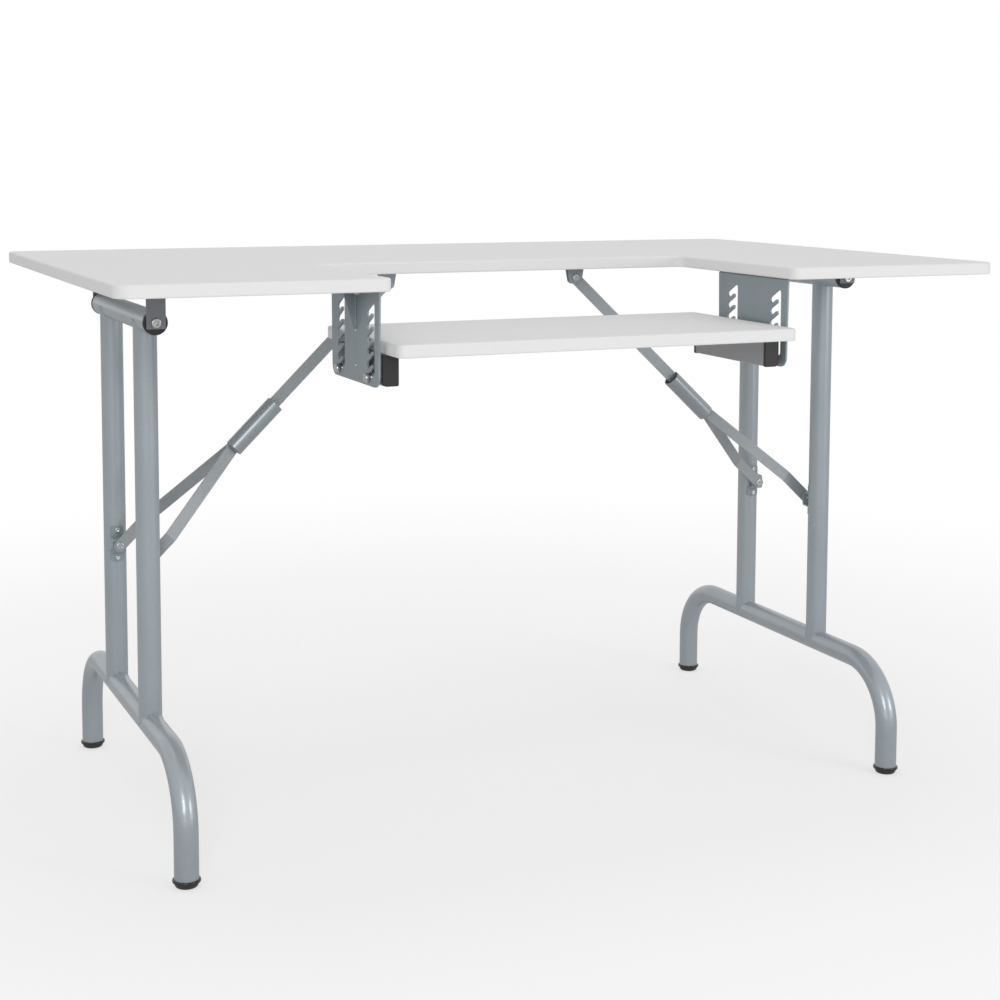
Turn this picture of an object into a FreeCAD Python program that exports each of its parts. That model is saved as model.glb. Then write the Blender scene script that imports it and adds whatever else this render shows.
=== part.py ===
import FreeCAD, Part
import math
import os

# Folding table for sewing and cutting. A laminate board with a well for the machine stands on two
# welded tube frames that fold inwards under it. Each frame is held upright by a jointed brace, locked
# straight by a sliding sleeve. A small shelf hangs in the well on four pins, in notched steel brackets.
#
# Millimetres. +Z is up, +X runs to the user's right and -Y faces the user. Pieces are drawn with the
# middle of the board at y = 0, side pieces on the left and mirrored for the right. The nodes are then
# moved so that the origin is on the floor below the middle of the whole outline, shelf included.

Vec = FreeCAD.Vector
ORIGIN = Vec(0, 0, 0)
ALONG_X = Vec(1, 0, 0)
ALONG_Y = Vec(0, 1, 0)
UP = Vec(0, 0, 1)
FRONT = -1
REAR = 1
END_NAMES = {FRONT: "front", REAR: "rear"}

# Board and the well cut into its front edge
BOARD_LENGTH = 1200.0
BOARD_DEPTH = 750.0
BOARD_THICKNESS = 16.0
BOARD_CORNER = 20.0
TABLE_HEIGHT = 730.0
WELL_WIDTH = 550.0
WELL_DEPTH = 295.0
WELL_MOUTH_CORNER = 12.0
WELL_BACK_CORNER = 10.0
EDGE_ROUND = 2.5

# Shelf, and the settings of its height: the highest brings it level with the board
SHELF_THICKNESS = 16.0
SHELF_SIDE_GAP = 1.0
SHELF_LEAD = 14.0
SHELF_DEPTH = 268.0
SHELF_CORNER = 10.0
SHELF_STEP = 15.5
SHELF_STEPS = 5

# Shelf rails and their end plugs
RAIL_WIDTH = 20.0
RAIL_HEIGHT = 38.0
RAIL_WALL = 1.5
RAIL_LENGTH = 177.0
RAIL_SETBACK = 39.0
RAIL_CORNER = 2.5
PLUG_LIP = 4.0
PLUG_LIP_ROUND = 1.2
PLUG_OVERHANG = 0.6
PLUG_DEPTH = 15.0
PLUG_WALL = 2.0
PLUG_CORNER = 6.0
PLUG_SHELL_CORNER = 1.0
RAIL_SCREW_OFFSET = 24.0
ACCESS_HOLE_RADIUS = 6.0

# Shelf brackets, bent from sheet, and the notched slots in them
SHEET = 2.5
BEND_RADIUS = 1.0
BRACKET_SETBACK = 25.0
BRACKET_LENGTH = 174.0
BRACKET_HEIGHT = 117.0
BRACKET_CORNER = 14.0
BRACKET_TAPER = 3.0
BRACKET_FLANGE = 40.0
BRACKET_WELL_GAP = 7.0
BRACKET_RAIL_GAP = 6.0
BRACKET_SCREW_INSET = 16.0
GUSSET_SETBACK = 83.0
GUSSET_REACH = 17.0
GUSSET_HEIGHT = 50.0
GUSSET_NOTCH = 2.0
NOTCH_REACH = 17.5
NOTCH_SLOPE = 29.0
TOOTH_ROUND = 2.2
TOOTH_ROUND_SHARE = 0.4

# Shelf pins
PIN_RADIUS = 4.0
PIN_SETBACK = 37.5
PIN_SPACING = 108.0
PIN_HEAD_RADIUS = 5.8
PIN_HEAD_HEIGHT = 5.0
PIN_HEAD_DOME = 2.0
PIN_COLLAR_RADIUS = 6.5
NUT_HEIGHT = 6.0
NUT_FLATS = 11.0
NUT_FLOOR_GAP = 1.0
PIN_END = 1.5
HEAD_EDGE_ROUND = 0.4
SHANK_TIP_ROUND = 0.5

# Leg frames
TUBE_DIAMETER = 30.0
TUBE_WALL = 1.5
LEG_INSET = 94.5
UPRIGHT_SPACING = 200.0
FOOT_SPACING = 560.0
FOOT_BAR_HEIGHT = 148.0
FOOT_BEND = 85.0
PIVOT_TUBE_LENGTH = 310.0
PIVOT_BOARD_GAP = 1.5
NESTING_GAP = 0.5

# Black plastic caps of the leg frames
CAP_PLAY = 0.2
FOOT_CAP_HEIGHT = 10.0
FOOT_FLANGE_HEIGHT = 4.0
FOOT_FLANGE_OVERHANG = 2.2
FOOT_FLANGE_LOW_ROUND = 1.2
FOOT_FLANGE_HIGH_ROUND = 1.8
FOOT_BODY_OVERHANG = 0.6
FOOT_SOLE_INSET = 2.6
FOOT_SOLE_ROUND = 3.5
FOOT_PLUG_LENGTH = 20.0
PIVOT_CAP_LENGTH = 5.0
PIVOT_CAP_OVERHANG = 0.5
PIVOT_PLUG_LENGTH = 15.0
CAP_ROUND = 1.5
CAP_PLUG_ROUND = 1.0

# Hangers and eyelet-headed bolts that carry the leg frames
HANGER_WIDTH = 24.0
HANGER_TAIL = 7.5
HANGER_CORNER = 1.5
HANGER_FLANGE = 30.0
HANGER_SCREW_SETBACK = 10.0
HANGER_SCREW_SPACING = 12.0
BOLT_RADIUS = 4.0
BOLT_HEAD_RADIUS = 6.2
BOLT_HEAD_HEIGHT = 3.0
BOLT_HEAD_ROUND = 1.5
BOLT_EYE_RADIUS = 2.8
BOLT_EYE_FLOOR_RADIUS = 2.2
BOLT_EYE_DEPTH = 2.2
BOLT_EYE_ROUND = 0.8
BOLT_GRIP = 18.0

# Folding braces
ANCHOR_SPACING = 290.0
ANCHOR_DROP = 17.0
LEFT_FORK_HEIGHT = 343.5
RIGHT_FORK_HEIGHT = 359.0
LEFT_FORK_LENGTH = 215.0
RIGHT_FORK_LENGTH = 208.0
BAR_WIDTH = 16.0
BAR_THICKNESS = 3.0
FORK_THICKNESS = 2.5
FORK_THROAT = 22.0
FORK_TIP = 52.0
FORK_BEND = 4.0
SLEEVE_DIAMETER = 24.6
SLEEVE_WALL = 1.3
SLEEVE_LENGTH = 82.0
SLEEVE_OVERLAP = 20.0
SLEEVE_RIM_ROUND = 0.5
RIVET_RADIUS = 3.0
RIVET_HEAD_RADIUS = 5.2
RIVET_HEAD_HEIGHT = 2.0
RIVET_DOME = 1.2
RIVET_EYE_RADIUS = 2.4
RIVET_EYE_FLOOR_RADIUS = 2.0
RIVET_EYE_DEPTH = 1.3
RIVET_EYE_ROUND = 0.5
TIP_WASHER_RADIUS = 7.0
TIP_WASHER_THICKNESS = 1.5
CLEVIS_LENGTH = 48.0
CLEVIS_WIDTH = 22.0
CLEVIS_EAR_WIDTH = 26.0
CLEVIS_EAR_RADIUS = 9.0
CLEVIS_EAR_ROUND = 7.2
CLEVIS_CORNER = 5.0
CLEVIS_SCREW_SPACING = 34.0

# Saddles on the uprights: straps pressed to a hat shape, whose crowns hold the fork tips
SADDLE_WIDTH = 18.0
SADDLE_HEIGHT = 48.0
SADDLE_STANDOFF = 14.0
SADDLE_CROWN = 20.0
SADDLE_DRAFT = 2.0
SADDLE_CORNER = 4.0
SADDLE_SCREW_SPACING = 38.0

# Screws: pan heads into the boards, low domed heads on the saddles
SCREW_RADIUS = 2.0
SCREW_HEAD_RADIUS = 4.0
SCREW_HEAD_HEIGHT = 2.4
SCREW_HEAD_ROUND = 1.4
SCREW_GRIP = 12.0
SADDLE_SCREW_HEAD_RADIUS = 3.4
SADDLE_SCREW_HEAD_HEIGHT = 1.4
SADDLE_SCREW_HEAD_ROUND = 1.0
SADDLE_SCREW_LENGTH = 9.0

# Fits
SLIDING_GAP = 0.3
RUNNING_FIT = 0.05
FASTENER_FIT = 0.1
WELD_FIT = 0.05

# Closeness below which two places count as one
SAME_PLACE = 1e-4

# Places that follow from the sizes above
UNDERSIDE = TABLE_HEIGHT - BOARD_THICKNESS
BOARD_FRONT = -BOARD_DEPTH / 2
TUBE_RADIUS = TUBE_DIAMETER / 2
LEG_X = BOARD_LENGTH / 2 - LEG_INSET
SHELF_TOP = TABLE_HEIGHT - SHELF_STEPS * SHELF_STEP
SHELF_UNDERSIDE = SHELF_TOP - SHELF_THICKNESS
BRACKET_X = WELL_WIDTH / 2 + BRACKET_WELL_GAP
BRACKET_FRONT = BOARD_FRONT + BRACKET_SETBACK
BRACKET_REAR = BRACKET_FRONT + BRACKET_LENGTH
RAIL_OUTER_X = BRACKET_X - BRACKET_RAIL_GAP
RAIL_INNER_X = RAIL_OUTER_X - RAIL_WIDTH
RAIL_FRONT = BOARD_FRONT + RAIL_SETBACK
RAIL_REAR = RAIL_FRONT + RAIL_LENGTH
RAIL_BOTTOM = SHELF_UNDERSIDE - RAIL_HEIGHT
PIN_Z = RAIL_BOTTOM + RAIL_WALL + NUT_FLOOR_GAP + NUT_FLATS / 2
PIN_YS = [BRACKET_FRONT + PIN_SETBACK, BRACKET_FRONT + PIN_SETBACK + PIN_SPACING]
SLOT_RADIUS = PIN_RADIUS + SLIDING_GAP
RIGHT_PIVOT_Z = UNDERSIDE - PIVOT_BOARD_GAP - TUBE_RADIUS
LEFT_PIVOT_Z = RIGHT_PIVOT_Z - TUBE_DIAMETER - NESTING_GAP
PIVOT_CAP_FACE = PIVOT_TUBE_LENGTH / 2 + PIVOT_CAP_LENGTH
HANGER_FACE = PIVOT_CAP_FACE + SLIDING_GAP
UPRIGHT_Y = UPRIGHT_SPACING / 2
SADDLE_SEAT = UPRIGHT_Y - TUBE_RADIUS - WELD_FIT - SHEET
SADDLE_FACE = UPRIGHT_Y - TUBE_RADIUS - SADDLE_STANDOFF
FORK_TIP_OUTER = SADDLE_FACE - SLIDING_GAP - TIP_WASHER_THICKNESS
FORK_ROOT_INNER = BAR_THICKNESS / 2 + SLIDING_GAP
FORK_ROOT_OUTER = FORK_ROOT_INNER + FORK_THICKNESS
ANCHOR = Vec(-ANCHOR_SPACING / 2, 0, UNDERSIDE - ANCHOR_DROP)


class LegSide:
    """The heights that differ between the two leg frames, as drawn on the left."""

    def __init__(self, name, pivot_z, fork_height, fork_length):
        self.name = name
        self.leg_pivot = Vec(-LEG_X, 0, pivot_z)
        self.fork_pivot = Vec(-LEG_X, 0, fork_height)
        brace = ANCHOR - self.fork_pivot
        self.fork_length = fork_length
        self.upper_length = brace.Length - fork_length
        self.elbow = self.fork_pivot + brace * (fork_length / brace.Length)
        self.tilt = math.degrees(math.atan2(brace.z, brace.x))

    def turned_out(self, shape):
        """Mirrors a piece that was drawn on the left when this is the right side."""
        return shape.mirror(ORIGIN, ALONG_X) if self.name == "right" else shape

    def on_brace(self, shape):
        """Places a piece drawn about the elbow, its +X towards the anchor, on the sloping brace."""
        placed = shape.copy()
        placed.rotate(ORIGIN, ALONG_Y, -self.tilt)
        placed.translate(self.elbow)
        return self.turned_out(placed)


LEFT = LegSide("left", LEFT_PIVOT_Z, LEFT_FORK_HEIGHT, LEFT_FORK_LENGTH)
RIGHT = LegSide("right", RIGHT_PIVOT_Z, RIGHT_FORK_HEIGHT, RIGHT_FORK_LENGTH)
SIDES = [LEFT, RIGHT]


# Forms that the pieces share

def level_plane(z):
    return lambda x, y: Vec(x, y, z)


def side_plane(x):
    return lambda y, z: Vec(x, y, z)


def front_plane(y):
    return lambda x, z: Vec(x, y, z)


def rounded_face(corners, plane):
    """Flat face with one corner (a, b, radius) after another, each turned by a tangent arc."""
    points = [plane(a, b) for a, b, radius in corners]
    arcs = []
    ends = []
    for index, (a, b, radius) in enumerate(corners):
        here = points[index]
        back = (points[index - 1] - here).normalize()
        ahead = (points[(index + 1) % len(points)] - here).normalize()
        half_angle = back.getAngle(ahead) / 2
        reach = radius / math.tan(half_angle)
        start = here + back * reach
        end = here + ahead * reach
        ends.append((start, end))
        if radius > 0:
            inset = radius / math.sin(half_angle) - radius
            middle = here + (back + ahead).normalize() * inset
            arcs.append(Part.Arc(start, middle, end).toShape())
    edges = list(arcs)
    for index, (start, end) in enumerate(ends):
        next_start = ends[(index + 1) % len(ends)][0]
        if end.distanceToPoint(next_start) > SAME_PLACE:
            edges.append(Part.LineSegment(end, next_start).toShape())
    return Part.Face(Part.Wire(Part.__sortEdges__(edges)))


def prism(corners, plane, travel):
    return rounded_face(corners, plane).extrude(travel)


def rod(start, end, radius):
    return Part.makeCylinder(radius, (end - start).Length, start, end - start)


def pipe(start, end, radius, wall):
    return rod(start, end, radius).cut(rod(start, end, radius - wall))


def turned_piece(corners, base, direction):
    """Solid of revolution: corners (radius, height, rounding) about a line from base."""
    solid = rounded_face(corners, front_plane(0)).revolve(ORIGIN, UP, 360)
    solid.Placement = FreeCAD.Placement(base, FreeCAD.Rotation(UP, direction))
    return solid


def slot(start, end, radius, travel):
    """Round-ended slot from start to end, cut along travel."""
    along = (end - start).normalize()
    across = along.cross(travel).normalize() * radius
    arcs = [
        Part.Arc(start + across, start - along * radius, start - across).toShape(),
        Part.Arc(end - across, end + along * radius, end + across).toShape(),
    ]
    lines = [
        Part.LineSegment(start - across, end - across).toShape(),
        Part.LineSegment(end + across, start + across).toShape(),
    ]
    wire = Part.Wire([arcs[0], lines[0], arcs[1], lines[1]])
    return Part.Face(wire).extrude(travel)


def joined(shapes):
    first = shapes[0]
    return first.fuse(shapes[1:]).removeSplitter() if len(shapes) > 1 else first


def rims(solid, z):
    """Edges of a flat board that lie at height z."""
    return [edge for edge in solid.Edges
            if abs(edge.BoundBox.ZMin - z) < SAME_PLACE and abs(edge.BoundBox.ZMax - z) < SAME_PLACE]


def eased_board(corners, bottom, thickness):
    """Flat board with its upper and lower rims rounded."""
    board = prism(corners, level_plane(bottom), UP * thickness)
    return board.makeFillet(EDGE_ROUND, rims(board, bottom) + rims(board, bottom + thickness))


def pan_screw(flange_face, flange):
    """Screw driven upwards through a flange that lies under a board."""
    length = flange + SCREW_GRIP
    profile = [
        (0, -SCREW_HEAD_HEIGHT, 0),
        (SCREW_HEAD_RADIUS, -SCREW_HEAD_HEIGHT, SCREW_HEAD_ROUND),
        (SCREW_HEAD_RADIUS, 0, 0),
        (SCREW_RADIUS, 0, 0),
        (SCREW_RADIUS, length - SCREW_RADIUS, 0),
        (0, length, 0),
    ]
    return turned_piece(profile, flange_face, UP)


def pilot_hole(board_face):
    return rod(board_face, board_face + UP * (SCREW_GRIP + FASTENER_FIT), SCREW_RADIUS + FASTENER_FIT)


def flange_hole(board_face, flange):
    return rod(board_face - UP * flange, board_face, SCREW_RADIUS + FASTENER_FIT)


def rivet_head(bearing, outward):
    """Corners of a rivet head from its hollow middle out and back to its shank."""
    crest = bearing + outward * RIVET_HEAD_HEIGHT
    floor = crest - outward * RIVET_EYE_DEPTH
    return [
        (0, floor, 0),
        (RIVET_EYE_FLOOR_RADIUS, floor, 0),
        (RIVET_EYE_RADIUS, crest, RIVET_EYE_ROUND),
        (RIVET_HEAD_RADIUS, crest, RIVET_DOME),
        (RIVET_HEAD_RADIUS, bearing, 0),
        (RIVET_RADIUS, bearing, 0),
    ]


def rivet(grip_start, grip_end, centre):
    """Hollow-headed rivet along Y through centre, its heads bearing at the two ends of the grip."""
    far_head = rivet_head(grip_end - grip_start, 1)
    profile = rivet_head(0, -1) + far_head[::-1]
    return turned_piece(profile, Vec(centre.x, grip_start, centre.z), ALONG_Y)


# Where the screws go, as points on the underside of the board

def bracket_screw_points():
    x = -(BRACKET_X + BRACKET_FLANGE - BRACKET_SCREW_INSET)
    ends = [BRACKET_FRONT + BRACKET_SCREW_INSET, BRACKET_REAR - BRACKET_SCREW_INSET]
    gusset_y = BRACKET_FRONT + GUSSET_SETBACK
    between = [(ends[0] + gusset_y) / 2, (ends[1] + gusset_y) / 2]
    return [Vec(x, y, UNDERSIDE) for y in ends + between]


def hanger_screw_points(end):
    first = HANGER_FACE + SHEET + HANGER_SCREW_SETBACK
    return [Vec(-LEG_X, end * (first + step * HANGER_SCREW_SPACING), UNDERSIDE) for step in (0, 1)]


def clevis_screw_points():
    return [Vec(ANCHOR.x + side * CLEVIS_SCREW_SPACING / 2, 0, UNDERSIDE) for side in (-1, 1)]


def board_screw_points():
    """All the screws into the left half of the board."""
    hanger_points = hanger_screw_points(FRONT) + hanger_screw_points(REAR)
    return bracket_screw_points() + hanger_points + clevis_screw_points()


def rail_screw_points():
    x = -(RAIL_INNER_X + RAIL_WIDTH / 2)
    return [Vec(x, pin_y + RAIL_SCREW_OFFSET, SHELF_UNDERSIDE) for pin_y in PIN_YS]


def both_halves(shapes):
    """The shapes and their mirror images across the middle of the table."""
    return shapes + [shape.mirror(ORIGIN, ALONG_X) for shape in shapes]


# Board and shelf

def table_top():
    half_length = BOARD_LENGTH / 2
    half_well = WELL_WIDTH / 2
    well_back = BOARD_FRONT + WELL_DEPTH
    outline = [
        (-half_length, BOARD_FRONT, BOARD_CORNER),
        (-half_well, BOARD_FRONT, WELL_MOUTH_CORNER),
        (-half_well, well_back, WELL_BACK_CORNER),
        (half_well, well_back, WELL_BACK_CORNER),
        (half_well, BOARD_FRONT, WELL_MOUTH_CORNER),
        (half_length, BOARD_FRONT, BOARD_CORNER),
        (half_length, -BOARD_FRONT, BOARD_CORNER),
        (-half_length, -BOARD_FRONT, BOARD_CORNER),
    ]
    board = eased_board(outline, UNDERSIDE, BOARD_THICKNESS)
    return board.cut(both_halves([pilot_hole(point) for point in board_screw_points()]))


def shelf_board():
    half = WELL_WIDTH / 2 - SHELF_SIDE_GAP
    front = BOARD_FRONT - SHELF_LEAD
    back = front + SHELF_DEPTH
    outline = [
        (-half, front, SHELF_CORNER),
        (half, front, SHELF_CORNER),
        (half, back, SHELF_CORNER),
        (-half, back, SHELF_CORNER),
    ]
    board = eased_board(outline, SHELF_UNDERSIDE, SHELF_THICKNESS)
    return board.cut(both_halves([pilot_hole(point) for point in rail_screw_points()]))


def rail_section(inset, corner):
    """Corners of the rail's rectangle, drawn in by inset."""
    left = -RAIL_OUTER_X + inset
    right = -RAIL_INNER_X - inset
    low = RAIL_BOTTOM + inset
    high = SHELF_UNDERSIDE - inset
    return [(left, low, corner), (right, low, corner), (right, high, corner), (left, high, corner)]


def shelf_rail():
    """Rectangular tube under the shelf, drilled for its pins and for the screws into the shelf."""
    travel = ALONG_Y * RAIL_LENGTH
    rail = prism(rail_section(0, RAIL_CORNER), front_plane(RAIL_FRONT), travel)
    bore_corner = RAIL_CORNER - RAIL_WALL if RAIL_CORNER > RAIL_WALL else 0
    rail = rail.cut(prism(rail_section(RAIL_WALL, bore_corner), front_plane(RAIL_FRONT), travel))
    holes = []
    for y in PIN_YS:
        outer_wall = Vec(-RAIL_OUTER_X, y, PIN_Z)
        holes.append(rod(outer_wall, outer_wall + ALONG_X * RAIL_WALL, PIN_RADIUS + FASTENER_FIT))
    for point in rail_screw_points():
        holes.append(flange_hole(point, RAIL_WALL))
        below = Vec(point.x, point.y, RAIL_BOTTOM)
        holes.append(rod(below, below + UP * RAIL_WALL, ACCESS_HOLE_RADIUS))
    return rail.cut(holes)


def rail_plug(end):
    """Hollow plastic plug with a lip, in one end of the rail."""
    mouth = RAIL_FRONT if end == FRONT else RAIL_REAR
    left = -RAIL_OUTER_X - PLUG_OVERHANG
    right = -RAIL_INNER_X + PLUG_OVERHANG
    low = RAIL_BOTTOM - PLUG_OVERHANG
    lip_outline = [
        (left, low, PLUG_CORNER),
        (right, low, RAIL_CORNER),
        (right, SHELF_UNDERSIDE, 0),
        (left, SHELF_UNDERSIDE, 0),
    ]
    lip = prism(lip_outline, front_plane(mouth), ALONG_Y * (end * PLUG_LIP))
    outer_y = mouth + end * PLUG_LIP
    outer_rim = []
    for edge in lip.Edges:
        box = edge.BoundBox
        on_face = abs(box.YMin - outer_y) < SAME_PLACE and abs(box.YMax - outer_y) < SAME_PLACE
        if on_face and box.ZMin < SHELF_UNDERSIDE - SAME_PLACE:
            outer_rim.append(edge)
    lip = lip.makeFillet(PLUG_LIP_ROUND, outer_rim)
    inward = ALONG_Y * (-end * PLUG_DEPTH)
    shell_inset = RAIL_WALL + CAP_PLAY
    shell = prism(rail_section(shell_inset, PLUG_SHELL_CORNER), front_plane(mouth), inward)
    shell = shell.cut(prism(rail_section(shell_inset + PLUG_WALL, 0), front_plane(mouth), inward))
    return joined([lip, shell])


def shelf_pin(y):
    """Headed pin through the rail's wall: its bare neck rides in the bracket's notch."""
    collar_end = BRACKET_RAIL_GAP - SLIDING_GAP
    head_start = BRACKET_RAIL_GAP + SHEET + SLIDING_GAP
    head_end = head_start + PIN_HEAD_HEIGHT
    profile = [
        (0, -(RAIL_WALL + NUT_HEIGHT + PIN_END), 0),
        (PIN_RADIUS, -(RAIL_WALL + NUT_HEIGHT + PIN_END), SHANK_TIP_ROUND),
        (PIN_RADIUS, 0, 0),
        (PIN_COLLAR_RADIUS, 0, 0),
        (PIN_COLLAR_RADIUS, collar_end, 0),
        (PIN_RADIUS, collar_end, 0),
        (PIN_RADIUS, head_start, 0),
        (PIN_HEAD_RADIUS, head_start, HEAD_EDGE_ROUND),
        (PIN_HEAD_RADIUS, head_end, PIN_HEAD_DOME),
        (0, head_end, 0),
    ]
    return turned_piece(profile, Vec(-RAIL_OUTER_X, y, PIN_Z), ALONG_X * -1)


def pin_nut(y):
    """Hexagon nut on the pin, inside the rail."""
    reach = NUT_FLATS / math.sqrt(3)
    corners = []
    for step in range(6):
        angle = math.radians(60 * step)
        corners.append((y + reach * math.cos(angle), PIN_Z + reach * math.sin(angle), 0))
    face_x = -RAIL_OUTER_X + RAIL_WALL
    nut = prism(corners, side_plane(face_x), ALONG_X * NUT_HEIGHT)
    centre = Vec(face_x, y, PIN_Z)
    return nut.cut(rod(centre, centre + ALONG_X * NUT_HEIGHT, PIN_RADIUS + FASTENER_FIT))


def rail_screw(point):
    return pan_screw(point - UP * RAIL_WALL, RAIL_WALL)


# Shelf brackets

def notch_mouth_height(step):
    """Height at which the axis of a notch meets the axis of the upright slot."""
    return PIN_Z + step * SHELF_STEP + NOTCH_REACH * math.tan(math.radians(NOTCH_SLOPE))


def ladder_cut(pin_y, x, travel):
    """Upright slot with a row of notches that slope down and back from it."""
    slot_y = pin_y - NOTCH_REACH
    upright = slot(Vec(x, slot_y, notch_mouth_height(0)),
                   Vec(x, slot_y, notch_mouth_height(SHELF_STEPS)), SLOT_RADIUS, travel)
    notches = []
    for step in range(SHELF_STEPS + 1):
        mouth = Vec(x, slot_y, notch_mouth_height(step))
        seat = Vec(x, pin_y, PIN_Z + step * SHELF_STEP)
        notches.append(slot(mouth, seat, SLOT_RADIUS, travel))
    return joined([upright] + notches)


def tooth_edges(plate):
    """Sharp edges where the notches open into their upright slots."""
    edge_ys = [pin_y - NOTCH_REACH + SLOT_RADIUS for pin_y in PIN_YS]
    found = []
    for edge in plate.Edges:
        box = edge.BoundBox
        across = box.XLength > SAME_PLACE and box.YLength < SAME_PLACE and box.ZLength < SAME_PLACE
        beside_teeth = notch_mouth_height(0) < box.ZMin < notch_mouth_height(SHELF_STEPS)
        if across and beside_teeth and min(abs(box.YMin - y) for y in edge_ys) < SAME_PLACE:
            found.append(edge)
    return found


def shelf_bracket():
    """Notched plate with a bent flange under the board and a welded gusset."""
    inner = -BRACKET_X
    outer = inner - SHEET
    low = UNDERSIDE - BRACKET_HEIGHT
    bend = [
        (inner, low, 0),
        (inner, UNDERSIDE, BEND_RADIUS + SHEET),
        (inner - BRACKET_FLANGE, UNDERSIDE, 0),
        (inner - BRACKET_FLANGE, UNDERSIDE - SHEET, 0),
        (outer, UNDERSIDE - SHEET, BEND_RADIUS),
        (outer, low, 0),
    ]
    bracket = prism(bend, front_plane(BRACKET_FRONT), ALONG_Y * BRACKET_LENGTH)
    outline = [
        (BRACKET_FRONT, UNDERSIDE, 0),
        (BRACKET_FRONT + BRACKET_TAPER, low, BRACKET_CORNER),
        (BRACKET_REAR - BRACKET_TAPER, low, BRACKET_CORNER),
        (BRACKET_REAR, UNDERSIDE, 0),
    ]
    width = ALONG_X * -BRACKET_FLANGE
    bracket = bracket.common(prism(outline, side_plane(inner), width))
    ladders = [ladder_cut(pin_y, inner, ALONG_X * -SHEET) for pin_y in PIN_YS]
    bracket = bracket.cut(ladders)
    tooth_height = SHELF_STEP - 2 * SLOT_RADIUS / math.cos(math.radians(NOTCH_SLOPE))
    bracket = bracket.makeFillet(min(TOOTH_ROUND, tooth_height * TOOTH_ROUND_SHARE), tooth_edges(bracket))
    flange_holes = [flange_hole(point, SHEET) for point in bracket_screw_points()]
    return joined([bracket, gusset(outer)]).cut(flange_holes)


def gusset(outer):
    """Triangular web between the plate and its flange, notched clear of the bend."""
    top = UNDERSIDE - SHEET
    corners = [
        (outer, top - GUSSET_NOTCH, 0),
        (outer - GUSSET_NOTCH, top, 0),
        (outer - GUSSET_REACH, top, 0),
        (outer - GUSSET_REACH, top - SHEET, 0),
        (outer - SHEET, top - GUSSET_HEIGHT, 0),
        (outer, top - GUSSET_HEIGHT, 0),
    ]
    y = BRACKET_FRONT + GUSSET_SETBACK
    return prism(corners, front_plane(y - SHEET / 2), ALONG_Y * SHEET)


# Hangers and pivots of the leg frames

def pivot_hanger(side, end):
    """Bent strap under the board that carries one end of a pivot tube."""
    near = HANGER_FACE
    far = HANGER_FACE + SHEET
    pivot_z = side.leg_pivot.z
    low = pivot_z - HANGER_TAIL
    bend = [
        (end * near, low, 0),
        (end * near, UNDERSIDE, BEND_RADIUS + SHEET),
        (end * (near + HANGER_FLANGE), UNDERSIDE, 0),
        (end * (near + HANGER_FLANGE), UNDERSIDE - SHEET, 0),
        (end * far, UNDERSIDE - SHEET, BEND_RADIUS),
        (end * far, low, 0),
    ]
    half = HANGER_WIDTH / 2
    strap = prism(bend, side_plane(-LEG_X - half), ALONG_X * HANGER_WIDTH)
    outline = [
        (-LEG_X - half, low, HANGER_CORNER),
        (-LEG_X + half, low, HANGER_CORNER),
        (-LEG_X + half, UNDERSIDE, 0),
        (-LEG_X - half, UNDERSIDE, 0),
    ]
    strap = strap.common(prism(outline, front_plane(end * near), ALONG_Y * (end * HANGER_FLANGE)))
    pivot = Vec(-LEG_X, end * near, pivot_z)
    holes = [rod(pivot, pivot + ALONG_Y * (end * SHEET), BOLT_RADIUS + FASTENER_FIT)]
    holes += [flange_hole(point, SHEET) for point in hanger_screw_points(end)]
    return strap.cut(holes)


def pivot_bolt(side, end):
    """Bolt through the hanger into the capped end of the pivot tube, its head a ring about an eye."""
    crest = SHEET + BOLT_HEAD_HEIGHT
    profile = [
        (0, -BOLT_GRIP, 0),
        (BOLT_RADIUS, -BOLT_GRIP, SHANK_TIP_ROUND),
        (BOLT_RADIUS, SHEET, 0),
        (BOLT_HEAD_RADIUS, SHEET, HEAD_EDGE_ROUND),
        (BOLT_HEAD_RADIUS, crest, BOLT_HEAD_ROUND),
        (BOLT_EYE_RADIUS, crest, BOLT_EYE_ROUND),
        (BOLT_EYE_FLOOR_RADIUS, crest - BOLT_EYE_DEPTH, 0),
        (0, crest - BOLT_EYE_DEPTH, 0),
    ]
    base = Vec(-LEG_X, end * HANGER_FACE, side.leg_pivot.z)
    return turned_piece(profile, base, ALONG_Y * end)


def pivot_tube(side):
    half = ALONG_Y * (PIVOT_TUBE_LENGTH / 2)
    return pipe(side.leg_pivot - half, side.leg_pivot + half, TUBE_RADIUS, TUBE_WALL)


def pivot_cap(side, end):
    """Plastic bush in the end of the pivot tube, bored for the pivot bolt."""
    bore = BOLT_RADIUS + RUNNING_FIT
    plug = TUBE_RADIUS - TUBE_WALL - CAP_PLAY
    rim = TUBE_RADIUS + PIVOT_CAP_OVERHANG
    profile = [
        (bore, -PIVOT_PLUG_LENGTH, 0),
        (plug, -PIVOT_PLUG_LENGTH, CAP_PLUG_ROUND),
        (plug, 0, 0),
        (rim, 0, 0),
        (rim, PIVOT_CAP_LENGTH, CAP_ROUND),
        (bore, PIVOT_CAP_LENGTH, 0),
    ]
    base = side.leg_pivot + ALONG_Y * (end * PIVOT_TUBE_LENGTH / 2)
    return turned_piece(profile, base, ALONG_Y * end)


# Leg frames

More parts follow.
